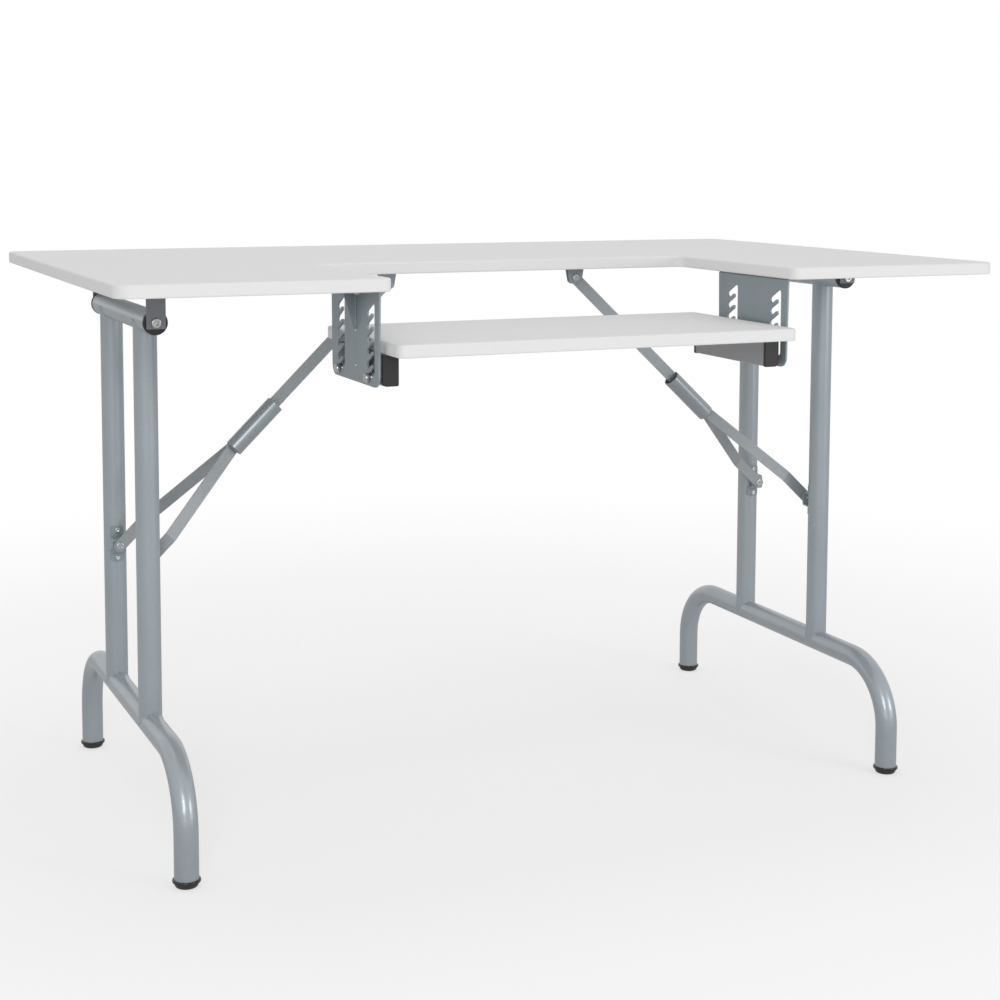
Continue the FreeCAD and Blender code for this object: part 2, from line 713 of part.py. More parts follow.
def upright(side, end):
    """Tube between the pivot tube and the foot bar, its ends coped to sit on both."""
    y = end * UPRIGHT_Y
    tube = pipe(Vec(-LEG_X, y, FOOT_BAR_HEIGHT), Vec(-LEG_X, y, side.leg_pivot.z), TUBE_RADIUS, TUBE_WALL)
    reach = ALONG_Y * (UPRIGHT_SPACING / 2 + TUBE_DIAMETER)
    copes = []
    for z in (FOOT_BAR_HEIGHT, side.leg_pivot.z):
        centre = Vec(-LEG_X, 0, z)
        copes.append(rod(centre - reach, centre + reach, TUBE_RADIUS + WELD_FIT))
    return tube.cut(copes + saddle_holes(side, end))


def foot_path():
    """Centre line of the foot bar: up from one foot, along the floor's length and down to the other."""
    half = FOOT_SPACING / 2
    turn = FOOT_BEND * (1 - math.sqrt(0.5))
    plane = side_plane(-LEG_X)
    front_foot = plane(-half, FOOT_CAP_HEIGHT)
    front_rise = plane(-half, FOOT_BAR_HEIGHT - FOOT_BEND)
    front_middle = plane(-half + turn, FOOT_BAR_HEIGHT - turn)
    front_top = plane(-half + FOOT_BEND, FOOT_BAR_HEIGHT)
    rear_top = plane(half - FOOT_BEND, FOOT_BAR_HEIGHT)
    rear_middle = plane(half - turn, FOOT_BAR_HEIGHT - turn)
    rear_rise = plane(half, FOOT_BAR_HEIGHT - FOOT_BEND)
    rear_foot = plane(half, FOOT_CAP_HEIGHT)
    pieces = [
        Part.LineSegment(front_foot, front_rise),
        Part.Arc(front_rise, front_middle, front_top),
        Part.LineSegment(front_top, rear_top),
        Part.Arc(rear_top, rear_middle, rear_rise),
        Part.LineSegment(rear_rise, rear_foot),
    ]
    return Part.Wire([piece.toShape() for piece in pieces])


def foot_bar():
    """Bent tube that carries the two uprights and stands on its two turned-down ends."""
    path = foot_path()
    start = Vec(-LEG_X, -FOOT_SPACING / 2, FOOT_CAP_HEIGHT)
    skins = []
    for radius in (TUBE_RADIUS, TUBE_RADIUS - TUBE_WALL):
        section = Part.Wire([Part.Circle(start, UP, radius).toShape()])
        skins.append(path.makePipeShell([section], True, False))
    return skins[0].cut(skins[1])


def foot_cap(end):
    """Plastic foot: a tapered sole under a flange, with a plug up into the tube."""
    plug = TUBE_RADIUS - TUBE_WALL - CAP_PLAY
    flange = TUBE_RADIUS + FOOT_FLANGE_OVERHANG
    body = TUBE_RADIUS + FOOT_BODY_OVERHANG
    flange_low = FOOT_CAP_HEIGHT - FOOT_FLANGE_HEIGHT
    profile = [
        (0, 0, 0),
        (body - FOOT_SOLE_INSET, 0, FOOT_SOLE_ROUND),
        (body, flange_low, 0),
        (flange, flange_low, FOOT_FLANGE_LOW_ROUND),
        (flange, FOOT_CAP_HEIGHT, FOOT_FLANGE_HIGH_ROUND),
        (plug, FOOT_CAP_HEIGHT, 0),
        (plug, FOOT_CAP_HEIGHT + FOOT_PLUG_LENGTH, CAP_PLUG_ROUND),
        (0, FOOT_CAP_HEIGHT + FOOT_PLUG_LENGTH, 0),
    ]
    return turned_piece(profile, Vec(-LEG_X, end * FOOT_SPACING / 2, 0), UP)


# Saddles for the fork tips

def saddle_screw_heights(side):
    middle = side.fork_pivot.z
    return [middle - SADDLE_SCREW_SPACING / 2, middle + SADDLE_SCREW_SPACING / 2]


def saddle_screw(side, end, z):
    """Low domed screw through a foot of the saddle into the upright."""
    profile = [
        (0, -SADDLE_SCREW_HEAD_HEIGHT, 0),
        (SADDLE_SCREW_HEAD_RADIUS, -SADDLE_SCREW_HEAD_HEIGHT, SADDLE_SCREW_HEAD_ROUND),
        (SADDLE_SCREW_HEAD_RADIUS, 0, 0),
        (SCREW_RADIUS, 0, 0),
        (SCREW_RADIUS, SADDLE_SCREW_LENGTH, SHANK_TIP_ROUND),
        (0, SADDLE_SCREW_LENGTH, 0),
    ]
    return turned_piece(profile, Vec(-LEG_X, end * SADDLE_SEAT, z), ALONG_Y * end)


def saddle_holes(side, end):
    holes = []
    for z in saddle_screw_heights(side):
        mouth = Vec(-LEG_X, end * SADDLE_SEAT, z)
        holes.append(rod(mouth, mouth + ALONG_Y * (end * SADDLE_SCREW_LENGTH), SCREW_RADIUS + FASTENER_FIT))
    return holes


def saddle_hat(side, end, inset):
    """The raised middle of a saddle as a solid from the tube's axis out, drawn in by inset."""
    middle = side.fork_pivot.z
    crown = SADDLE_CROWN / 2 - inset
    root = crown + SADDLE_DRAFT
    face = end * (SADDLE_FACE + inset)
    bend = BEND_RADIUS + SHEET - inset
    corners = [
        (end * UPRIGHT_Y, middle - root, 0),
        (face, middle - crown, bend),
        (face, middle + crown, bend),
        (end * UPRIGHT_Y, middle + root, 0),
    ]
    return prism(corners, side_plane(-LEG_X - SADDLE_WIDTH / 2), ALONG_X * SADDLE_WIDTH)


def fork_saddle(side, end):
    """Strap on the inner side of an upright: its feet hug the tube and its crown takes the fork's pivot."""
    half_width = SADDLE_WIDTH / 2
    low = side.fork_pivot.z - SADDLE_HEIGHT / 2
    high = side.fork_pivot.z + SADDLE_HEIGHT / 2
    outline = [
        (-LEG_X - half_width, low, SADDLE_CORNER),
        (-LEG_X + half_width, low, SADDLE_CORNER),
        (-LEG_X + half_width, high, SADDLE_CORNER),
        (-LEG_X - half_width, high, SADDLE_CORNER),
    ]
    axis_low = Vec(-LEG_X, end * UPRIGHT_Y, low)
    axis_high = Vec(-LEG_X, end * UPRIGHT_Y, high)
    seat = rod(axis_low, axis_high, TUBE_RADIUS + WELD_FIT)
    feet = rod(axis_low, axis_high, TUBE_RADIUS + WELD_FIT + SHEET)
    feet = feet.common(prism(outline, front_plane(end * UPRIGHT_Y), ALONG_Y * (-end * TUBE_DIAMETER)))
    pivot = Vec(-LEG_X, end * SADDLE_FACE, side.fork_pivot.z)
    bore = rod(pivot, pivot + ALONG_Y * (end * SHEET), RIVET_RADIUS + RUNNING_FIT)
    strap = joined([feet, saddle_hat(side, end, 0)])
    return strap.cut([saddle_hat(side, end, SHEET), seat, bore] + saddle_holes(side, end))


# Braces, drawn about the elbow with +X towards the anchor under the board

def flat_bar_outline(start, end, low, high):
    """Round-ended bar between two pivots, as a solid from y = low to y = high."""
    return slot(Vec(start, low, 0), Vec(end, low, 0), BAR_WIDTH / 2, ALONG_Y * (high - low))


def pivot_bore(x, low, high):
    return rod(Vec(x, low, 0), Vec(x, high, 0), RIVET_RADIUS + RUNNING_FIT)


def upper_bar(side):
    half = BAR_THICKNESS / 2
    bar = flat_bar_outline(0, side.upper_length, -half, half)
    return bar.cut([pivot_bore(0, -half, half), pivot_bore(side.upper_length, -half, half)])


def elbow_rivet():
    grip = FORK_ROOT_OUTER + SLIDING_GAP
    return rivet(-grip, grip, ORIGIN)


def fork_bar(side, end):
    """Flat bar that runs beside the upper bar at the elbow and splays out to its upright."""
    root = -BAR_WIDTH
    throat = FORK_THROAT
    crease = side.fork_length - FORK_TIP
    tip = side.fork_length + BAR_WIDTH
    tip_inner = FORK_TIP_OUTER - FORK_THICKNESS
    splay = math.atan2(tip_inner - FORK_ROOT_INNER, crease - throat)
    shift = FORK_THICKNESS * math.tan(splay / 2)
    outer_bend = FORK_BEND + FORK_THICKNESS
    band = [
        (-root, end * FORK_ROOT_INNER, 0),
        (-throat, end * FORK_ROOT_INNER, outer_bend),
        (-crease, end * tip_inner, FORK_BEND),
        (-tip, end * tip_inner, 0),
        (-tip, end * FORK_TIP_OUTER, 0),
        (-(crease - shift), end * FORK_TIP_OUTER, outer_bend),
        (-(throat - shift), end * FORK_ROOT_OUTER, FORK_BEND),
        (-root, end * FORK_ROOT_OUTER, 0),
    ]
    strip = prism(band, level_plane(-BAR_WIDTH / 2), UP * BAR_WIDTH)
    edges = sorted([end * FORK_ROOT_INNER, end * FORK_TIP_OUTER])
    outline = flat_bar_outline(-side.fork_length, 0, edges[0], edges[1])
    bores = [pivot_bore(0, edges[0], edges[1]), pivot_bore(-side.fork_length, edges[0], edges[1])]
    return strip.common(outline).cut(bores)


def fork_tip_rivet(side, end):
    """Pivot rivet of a fork tip, with the washer that keeps it off the saddle."""
    grip_start = FORK_TIP_OUTER - FORK_THICKNESS
    washer_end = FORK_THICKNESS + TIP_WASHER_THICKNESS
    profile = rivet_head(0, -1) + [
        (RIVET_RADIUS, FORK_THICKNESS, 0),
        (TIP_WASHER_RADIUS, FORK_THICKNESS, 0),
        (TIP_WASHER_RADIUS, washer_end, 0),
        (0, washer_end, 0),
    ]
    return turned_piece(profile, Vec(-side.fork_length, end * grip_start, 0), ALONG_Y * end)


def lock_sleeve():
    """Tube that hangs over the elbow and keeps fork and upper bar in line."""
    radius = SLEEVE_DIAMETER / 2
    bore = radius - SLEEVE_WALL
    drop = math.sqrt((bore - SLIDING_GAP) ** 2 - FORK_ROOT_OUTER ** 2) - BAR_WIDTH / 2
    profile = [
        (bore, 0, 0),
        (radius, 0, SLEEVE_RIM_ROUND),
        (radius, SLEEVE_LENGTH, SLEEVE_RIM_ROUND),
        (bore, SLEEVE_LENGTH, 0),
    ]
    return turned_piece(profile, Vec(-SLEEVE_OVERLAP, 0, -drop), ALONG_X)


def brace_clevis():
    """Plate under the board with two ears for the upper bar's pin."""
    half_length = CLEVIS_LENGTH / 2
    half_width = CLEVIS_WIDTH / 2
    base_outline = [
        (ANCHOR.x - half_length, -half_width, CLEVIS_CORNER),
        (ANCHOR.x + half_length, -half_width, CLEVIS_CORNER),
        (ANCHOR.x + half_length, half_width, CLEVIS_CORNER),
        (ANCHOR.x - half_length, half_width, CLEVIS_CORNER),
    ]
    base = prism(base_outline, level_plane(UNDERSIDE - SHEET), UP * SHEET)
    ear_half = CLEVIS_EAR_WIDTH / 2
    low = ANCHOR.z - CLEVIS_EAR_RADIUS
    ear_outline = [
        (ANCHOR.x - ear_half, UNDERSIDE - SHEET, 0),
        (ANCHOR.x - CLEVIS_EAR_RADIUS, low, CLEVIS_EAR_ROUND),
        (ANCHOR.x + CLEVIS_EAR_RADIUS, low, CLEVIS_EAR_ROUND),
        (ANCHOR.x + ear_half, UNDERSIDE - SHEET, 0),
    ]
    near = BAR_THICKNESS / 2 + SLIDING_GAP
    ears = []
    for end in (FRONT, REAR):
        ears.append(prism(ear_outline, front_plane(end * near), ALONG_Y * (end * SHEET)))
    reach = ALONG_Y * half_width
    bore = rod(ANCHOR - reach, ANCHOR + reach, RIVET_RADIUS + FASTENER_FIT)
    holes = [flange_hole(point, SHEET) for point in clevis_screw_points()]
    return joined([base] + ears).cut(holes + [bore])


def clevis_pin():
    grip = BAR_THICKNESS / 2 + SLIDING_GAP + SHEET
    return rivet(-grip, grip, ANCHOR)


# Writing the nodes

def board_screws(points):
    screws = [pan_screw(point - UP * SHEET, SHEET) for point in points]
    return Part.makeCompound(both_halves(screws))


def top_nodes():
    hanger_points = hanger_screw_points(FRONT) + hanger_screw_points(REAR)
    nodes = {
        "table_top": table_top(),
        "bracket_screws": board_screws(bracket_screw_points()),
        "hanger_screws": board_screws(hanger_points),
        "clevis_screws": board_screws(clevis_screw_points()),
        "clevis_pins": Part.makeCompound(both_halves([clevis_pin()])),
    }
    bolts = []
    for side in SIDES:
        nodes[side.name + "_shelf_bracket"] = side.turned_out(shelf_bracket())
        nodes[side.name + "_brace_clevis"] = side.turned_out(brace_clevis())
        for end, end_name in END_NAMES.items():
            nodes[f"{side.name}_{end_name}_pivot_hanger"] = side.turned_out(pivot_hanger(side, end))
            bolts.append(side.turned_out(pivot_bolt(side, end)))
    nodes["pivot_bolts"] = Part.makeCompound(bolts)
    return nodes


def shelf_nodes():
    nodes = {
        "shelf_board": shelf_board(),
        "shelf_pins": Part.makeCompound(both_halves([shelf_pin(y) for y in PIN_YS])),
        "shelf_pin_nuts": Part.makeCompound(both_halves([pin_nut(y) for y in PIN_YS])),
        "rail_screws": Part.makeCompound(both_halves([rail_screw(point) for point in rail_screw_points()])),
    }
    for side in SIDES:
        nodes[side.name + "_shelf_rail"] = side.turned_out(shelf_rail())
        for end, end_name in END_NAMES.items():
            nodes[f"{side.name}_{end_name}_rail_plug"] = side.turned_out(rail_plug(end))
    return nodes


def leg_nodes(side):
    nodes = {
        side.name + "_pivot_tube": side.turned_out(pivot_tube(side)),
        side.name + "_foot_bar": side.turned_out(foot_bar()),
    }
    screws = []
    for end, end_name in END_NAMES.items():
        prefix = f"{side.name}_{end_name}_"
        nodes[prefix + "upright"] = side.turned_out(upright(side, end))
        nodes[prefix + "pivot_cap"] = side.turned_out(pivot_cap(side, end))
        nodes[prefix + "foot_cap"] = side.turned_out(foot_cap(end))
        nodes[prefix + "fork_saddle"] = side.turned_out(fork_saddle(side, end))
        screws += [side.turned_out(saddle_screw(side, end, z)) for z in saddle_screw_heights(side)]
    nodes[side.name + "_saddle_screws"] = Part.makeCompound(screws)
    return nodes


def brace_nodes(side):
    nodes = {
        side.name + "_upper_bar": side.on_brace(upper_bar(side)),
        side.name + "_elbow_rivet": side.on_brace(elbow_rivet()),
        side.name + "_lock_sleeve": side.on_brace(lock_sleeve()),
    }
    rivets = []
    for end, end_name in END_NAMES.items():
        nodes[f"{side.name}_{end_name}_fork_bar"] = side.on_brace(fork_bar(side, end))
        rivets.append(side.on_brace(fork_tip_rivet(side, end)))
    nodes[side.name + "_fork_rivets"] = Part.makeCompound(rivets)
    return nodes


def main():
    os.makedirs("parts", exist_ok=True)
    nodes = top_nodes()
    nodes.update(shelf_nodes())
    for side in SIDES:
        nodes.update(leg_nodes(side))
        nodes.update(brace_nodes(side))
    for name, shape in nodes.items():
        shape.translate(ALONG_Y * (SHELF_LEAD / 2))
        shape.exportStep(f"parts/{name}.step")
        print(name, len(shape.Solids), "solids", round(shape.Volume / 1000, 1), "cm3", shape.isValid())
    print(len(nodes), "nodes")


main()
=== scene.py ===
import math

import bmesh
import bpy
from mathutils import Matrix, Vector

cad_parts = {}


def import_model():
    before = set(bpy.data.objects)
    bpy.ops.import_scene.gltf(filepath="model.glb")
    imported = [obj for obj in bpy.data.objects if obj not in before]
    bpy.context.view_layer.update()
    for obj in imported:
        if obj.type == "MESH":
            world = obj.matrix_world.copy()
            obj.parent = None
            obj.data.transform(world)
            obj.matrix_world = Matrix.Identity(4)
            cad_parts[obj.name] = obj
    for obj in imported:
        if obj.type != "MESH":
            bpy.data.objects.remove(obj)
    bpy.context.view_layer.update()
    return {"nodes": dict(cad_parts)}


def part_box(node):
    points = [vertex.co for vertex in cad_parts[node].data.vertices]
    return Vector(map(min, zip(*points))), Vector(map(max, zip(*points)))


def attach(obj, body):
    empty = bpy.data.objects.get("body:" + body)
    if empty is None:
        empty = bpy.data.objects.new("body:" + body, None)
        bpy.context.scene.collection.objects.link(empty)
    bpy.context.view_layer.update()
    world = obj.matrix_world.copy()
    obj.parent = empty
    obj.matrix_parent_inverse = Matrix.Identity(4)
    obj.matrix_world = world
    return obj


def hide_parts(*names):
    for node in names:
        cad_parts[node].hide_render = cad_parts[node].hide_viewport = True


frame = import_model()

# Looks of the folding table for sewing and cutting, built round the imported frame. Metres: +Z is up,
# +X runs to the user's right, -Y faces the user and the origin is on the floor below the middle of
# the outline. Sizes of small pieces are written in millimetres and turned to metres by MM.

MM = 0.001
SIDES = ("left", "right")
ENDS = ("front", "rear")
UP = Vector((0, 0, 1))
TABLE_MIDDLE = sum(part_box("table_top"), Vector()) / 2


# Node trees

def add(tree, kind, inputs=None, **settings):
    """Adds a node with its settings; a socket given as an input is linked, a value is set."""
    made = tree.nodes.new(kind)
    for name, value in settings.items():
        setattr(made, name, value)
    for key, value in (inputs or {}).items():
        if isinstance(value, bpy.types.NodeSocket):
            tree.links.new(value, made.inputs[key])
        else:
            made.inputs[key].default_value = value
    return made


def colour(hex_code):
    """Linear colour of an sRGB hex value."""
    linear = []
    for start in (1, 3, 5):
        value = int(hex_code[start:start + 2], 16) / 255
        linear.append(value / 12.92 if value <= 0.04045 else ((value + 0.055) / 1.055) ** 2.4)
    return (*linear, 1.0)


def per_mm(size):
    """Texture scale, in the object's metres, of features of a size in millimetres."""
    return 1 / (size * MM)


def new_material(name):
    """Empty material, with its tree and the place of a point on the object."""
    material = bpy.data.materials.new(name)
    material.use_nodes = True
    tree = material.node_tree
    tree.nodes.clear()
    place = add(tree, "ShaderNodeTexCoord").outputs["Object"]
    return material, tree, place


# Melamine laminate pressed on board: off-white and satin, with a pearl emboss that breaks up the
# reflections and a faint greyer fleck in the paper, both drawn coarser than real so that they show.
# The soft rim is painted a little whiter than the top, a painted highlight of the light on the
# front edges, and the balancing sheet underneath is plain and a little greyer.
LAMINATE_TOP = "#E6E6E6"
LAMINATE_CLOUD = "#E8E8E7"
LAMINATE_FLECK = "#CFCFCD"
LAMINATE_RIM_HIGHLIGHT = "#EAEAEA"
LAMINATE_UNDERSIDE = "#DEDEDB"


def melamine_laminate():
    material, tree, place = new_material("white_melamine_laminate")
    pearl = add(tree, "ShaderNodeTexNoise", {"Vector": place, "Scale": per_mm(1.6), "Detail": 2.0})
    cloud = add(tree, "ShaderNodeTexNoise", {"Vector": place, "Scale": per_mm(140), "Detail": 3.0})
    fleck = add(tree, "ShaderNodeTexNoise", {"Vector": place, "Scale": per_mm(0.9), "Detail": 1.0})
    tone = add(tree, "ShaderNodeMix", {
        "Factor": cloud.outputs["Fac"], "A": colour(LAMINATE_TOP), "B": colour(LAMINATE_CLOUD),
    }, data_type="RGBA")
    speck = add(tree, "ShaderNodeMapRange", {
        "Value": fleck.outputs["Fac"], "From Min": 0.62, "From Max": 0.75, "To Min": 0.0, "To Max": 0.3,
    })
    speckled = add(tree, "ShaderNodeMix", {
        "Factor": speck.outputs["Result"], "A": tone.outputs["Result"], "B": colour(LAMINATE_FLECK),
    }, data_type="RGBA")
    surface = add(tree, "ShaderNodeNewGeometry")
    facing = add(tree, "ShaderNodeSeparateXYZ", {"Vector": surface.outputs["Normal"]})
    level = add(tree, "ShaderNodeMath", {0: facing.outputs["Z"]}, operation="ABSOLUTE")
    # Faces that stand upright get the lighter rim colour: a painted highlight.
    lit_rim = add(tree, "ShaderNodeMapRange", {
        "Value": level.outputs["Value"], "From Min": 0.9, "From Max": 0.6,
    })
    rim_highlighted = add(tree, "ShaderNodeMix", {
        "Factor": lit_rim.outputs["Result"], "A": speckled.outputs["Result"], "B": colour(LAMINATE_RIM_HIGHLIGHT),
    }, data_type="RGBA")
    below = add(tree, "ShaderNodeMapRange", {
        "Value": facing.outputs["Z"], "From Min": -0.8, "From Max": -0.95,
    })
    whole = add(tree, "ShaderNodeMix", {
        "Factor": below.outputs["Result"], "A": rim_highlighted.outputs["Result"], "B": colour(LAMINATE_UNDERSIDE),
    }, data_type="RGBA")
    satin = add(tree, "ShaderNodeMapRange", {
        "Value": pearl.outputs["Fac"], "To Min": 0.54, "To Max": 0.68,
    })
    emboss = add(tree, "ShaderNodeBump", {
        "Height": pearl.outputs["Fac"], "Strength": 0.5, "Distance": 0.05 * MM,
    })
    shader = add(tree, "ShaderNodeBsdfPrincipled", {
        "Base Color": whole.outputs["Result"], "Roughness": satin.outputs["Result"],
        "Normal": emboss.outputs["Normal"], "IOR": 1.5, "Specular IOR Level": 0.3,
    })
    add(tree, "ShaderNodeOutputMaterial", {"Surface": shader.outputs["BSDF"]})
    return material


# Powder coat baked on steel: a metallic fleck a little over a millimetre wide, coarser than the real
# one so that it shows, in a satin film that sets with orange peel and in slow drifts of thicker and
# thinner coat. Cut and bent sheet edges are rounded in the shading and painted lighter, a painted
# highlight where they catch the light. Bent tube keeps the shallow ripples of the bender's mandrel,
# which start just before the bend.
FLECK_SHARE = 0.22
ROUGHNESS_SPREAD = 0.05
# Colour of the painted highlight on edges, and how much of it is laid on.
EDGE_HIGHLIGHT = "#B9C2C6"
EDGE_SHARE = 0.4
RIPPLE_START = 190 * MM
RIPPLE_RUN_IN = 20 * MM


def edge_highlight(tree, radius):
    """Rounded normal of a pressed edge, and how near to such an edge a point is, from 0 to 1, for a painted
    highlight.
    """
    rounded = add(tree, "ShaderNodeBevel", {"Radius": radius * MM}, samples=4)
    flat = add(tree, "ShaderNodeNewGeometry")
    alike = add(tree, "ShaderNodeVectorMath", {
        0: rounded.outputs["Normal"], 1: flat.outputs["Normal"],
    }, operation="DOT_PRODUCT")
    near = add(tree, "ShaderNodeMapRange", {
        "Value": alike.outputs["Value"], "From Min": 0.995, "From Max": 0.85,
    })
    return rounded.outputs["Normal"], near.outputs["Result"]


def mandrel_ripples(tree, place, start):
    """Normal of a foot bar, rippled beyond a distance from the table's middle along Y."""
    spot = add(tree, "ShaderNodeSeparateXYZ", {"Vector": place})
    along = add(tree, "ShaderNodeMath", {0: spot.outputs["Y"], 1: TABLE_MIDDLE.y}, operation="SUBTRACT")
    away = add(tree, "ShaderNodeMath", {0: along.outputs["Value"]}, operation="ABSOLUTE")
    bent = add(tree, "ShaderNodeMapRange", {
        "Value": away.outputs["Value"], "From Min": start, "From Max": start + RIPPLE_RUN_IN,
    })
    wave = add(tree, "ShaderNodeTexNoise", {"Vector": place, "Scale": per_mm(13), "Detail": 1.0})
    ripple = add(tree, "ShaderNodeMath", {
        0: wave.outputs["Fac"], 1: bent.outputs["Result"],
    }, operation="MULTIPLY")
    mandrel = add(tree, "ShaderNodeBump", {
        "Height": ripple.outputs["Value"], "Strength": 0.7, "Distance": 0.6 * MM,
    })
    return mandrel.outputs["Normal"]


def powder_coat(name, dark, light, metallic, roughness, edge_radius=0.0, ripple_from=0.0):
    material, tree, place = new_material(name)
    fleck = add(tree, "ShaderNodeTexVoronoi", {"Vector": place, "Scale": per_mm(1.3)})
    peel = add(tree, "ShaderNodeTexNoise", {"Vector": place, "Scale": per_mm(3.2), "Detail": 1.0})
    drift = add(tree, "ShaderNodeTexNoise", {"Vector": place, "Scale": per_mm(110), "Detail": 3.0})
    sparkle = add(tree, "ShaderNodeSeparateColor", {"Color": fleck.outputs["Color"]})
    blend = add(tree, "ShaderNodeMix", {
        "Factor": FLECK_SHARE, "A": drift.outputs["Fac"], "B": sparkle.outputs["Red"],
    })
    tone = add(tree, "ShaderNodeMix", {
        "Factor": blend.outputs["Result"], "A": colour(dark), "B": colour(light),
    }, data_type="RGBA").outputs["Result"]
    skin = add(tree, "ShaderNodeBump", {
        "Height": peel.outputs["Fac"], "Strength": 0.6, "Distance": 0.02 * MM,
    })
    if edge_radius > 0:
        rounded, near = edge_highlight(tree, edge_radius)
        tree.links.new(rounded, skin.inputs["Normal"])
        # Near an edge the tone turns to the lighter edge colour: a painted highlight.
        edge_lit = add(tree, "ShaderNodeMath", {0: near, 1: EDGE_SHARE}, operation="MULTIPLY")
        tone = add(tree, "ShaderNodeMix", {
            "Factor": edge_lit.outputs["Value"], "A": tone, "B": colour(EDGE_HIGHLIGHT),
        }, data_type="RGBA").outputs["Result"]
    if ripple_from > 0:
        tree.links.new(mandrel_ripples(tree, place, ripple_from), skin.inputs["Normal"])
    satin = add(tree, "ShaderNodeMapRange", {
        "Value": sparkle.outputs["Green"], "To Min": roughness, "To Max": roughness + ROUGHNESS_SPREAD,
    })
    shader = add(tree, "ShaderNodeBsdfPrincipled", {
        "Base Color": tone, "Metallic": metallic, "Roughness": satin.outputs["Result"],
        "Normal": skin.outputs["Normal"], "IOR": 1.5, "Coat Weight": 0.12, "Coat Roughness": 0.22,
    })
    add(tree, "ShaderNodeOutputMaterial", {"Surface": shader.outputs["BSDF"]})
    return material


# Black polypropylene from a spark-eroded mould: deep neutral black with a soft sheen and a dry grain,
# drawn coarser than real so that it shows.
def moulded_polypropylene():
    material, tree, place = new_material("black_moulded_polypropylene")
    grain = add(tree, "ShaderNodeTexNoise", {"Vector": place, "Scale": per_mm(0.6), "Detail": 3.0})
    flow = add(tree, "ShaderNodeTexNoise", {"Vector": place, "Scale": per_mm(14), "Detail": 2.0})
    tone = add(tree, "ShaderNodeMix", {
        "Factor": flow.outputs["Fac"], "A": colour("#1E1E20"), "B": colour("#2B2B2E"),
    }, data_type="RGBA")
    sheen = add(tree, "ShaderNodeMapRange", {
        "Value": grain.outputs["Fac"], "To Min": 0.36, "To Max": 0.54,
    })
    bite = add(tree, "ShaderNodeBump", {
        "Height": grain.outputs["Fac"], "Strength": 0.5, "Distance": 0.04 * MM,
    })
    shader = add(tree, "ShaderNodeBsdfPrincipled", {
        "Base Color": tone.outputs["Result"], "Roughness": sheen.outputs["Result"],
        "Normal": bite.outputs["Normal"], "IOR": 1.49,
    })
    add(tree, "ShaderNodeOutputMaterial", {"Surface": shader.outputs["BSDF"]})
    return material


# Foot cap moulded in soft black PVC: the flange ring is shiny, and the sole below it is a dry
# olive-black that the floor has dulled. Its grain is drawn coarser than real so that it shows.
SHINY_ABOVE = 6.2 * MM
DULL_BELOW = 5.6 * MM


def soft_pvc_foot():
    material, tree, place = new_material("black_soft_pvc_foot")
    height = add(tree, "ShaderNodeSeparateXYZ", {"Vector": place})
    sole = add(tree, "ShaderNodeMapRange", {
        "Value": height.outputs["Z"], "From Min": SHINY_ABOVE, "From Max": DULL_BELOW,
    })
    grain = add(tree, "ShaderNodeTexNoise", {"Vector": place, "Scale": per_mm(0.8), "Detail": 3.0})
    scuff = add(tree, "ShaderNodeTexNoise", {"Vector": place, "Scale": per_mm(5), "Detail": 4.0})
    dust = add(tree, "ShaderNodeMix", {
        "Factor": scuff.outputs["Fac"], "A": colour("#26261F"), "B": colour("#38382F"),
    }, data_type="RGBA")
    tone = add(tree, "ShaderNodeMix", {
        "Factor": sole.outputs["Result"], "A": colour("#1B1B22"), "B": dust.outputs["Result"],
    }, data_type="RGBA")
    polish = add(tree, "ShaderNodeMapRange", {
        "Value": sole.outputs["Result"], "To Min": 0.22, "To Max": 0.62,
    })
    bite = add(tree, "ShaderNodeBump", {
        "Height": grain.outputs["Fac"], "Strength": 0.5, "Distance": 0.05 * MM,
    })
    shader = add(tree, "ShaderNodeBsdfPrincipled", {
        "Base Color": tone.outputs["Result"], "Roughness": polish.outputs["Result"],
        "Normal": bite.outputs["Normal"], "IOR": 1.52,
    })
    add(tree, "ShaderNodeOutputMaterial", {"Surface": shader.outputs["BSDF"]})
    return material


# Bright zinc on turned and headed steel: a cool mirror dulled by handling and by tool marks, which are
# drawn coarser than real so that they show.
def zinc_plate():
    material, tree, place = new_material("bright_zinc_plate")
    haze = add(tree, "ShaderNodeTexNoise", {"Vector": place, "Scale": per_mm(3), "Detail": 4.0})
    marks = add(tree, "ShaderNodeTexNoise", {"Vector": place, "Scale": per_mm(0.4), "Detail": 1.0})
    tone = add(tree, "ShaderNodeMix", {
        "Factor": haze.outputs["Fac"], "A": colour("#B4B8BB"), "B": colour("#D3D4D3"),
    }, data_type="RGBA")
    polish = add(tree, "ShaderNodeMapRange", {
        "Value": haze.outputs["Fac"], "To Min": 0.18, "To Max": 0.36,
    })
    scratch = add(tree, "ShaderNodeBump", {
        "Height": marks.outputs["Fac"], "Strength": 0.4, "Distance": 0.02 * MM,
    })
    shader = add(tree, "ShaderNodeBsdfPrincipled", {
        "Base Color": tone.outputs["Result"], "Metallic": 1.0,
        "Roughness": polish.outputs["Result"], "Normal": scratch.outputs["Normal"],
    })
    add(tree, "ShaderNodeOutputMaterial", {"Surface": shader.outputs["BSDF"]})
    return material


LAMINATE = melamine_laminate()
BLACK = moulded_polypropylene()
FOOT_PVC = soft_pvc_foot()
ZINC = zinc_plate()

# Straight tube of the leg frames: satin silver-grey.
TUBE_GREY = powder_coat(
    "silver_grey_powder_coat", dark="#9AA3A9", light="#AEB6BC", metallic=0.35, roughness=0.34)

# Bent foot bars: the same paint, glossier, so that the bends draw a sharp highlight.
FOOT_GREY = powder_coat(
    "silver_grey_coat_on_bent_tube", dark="#9AA3A9", light="#AEB6BC", metallic=0.35, roughness=0.29,
    ripple_from=RIPPLE_START)

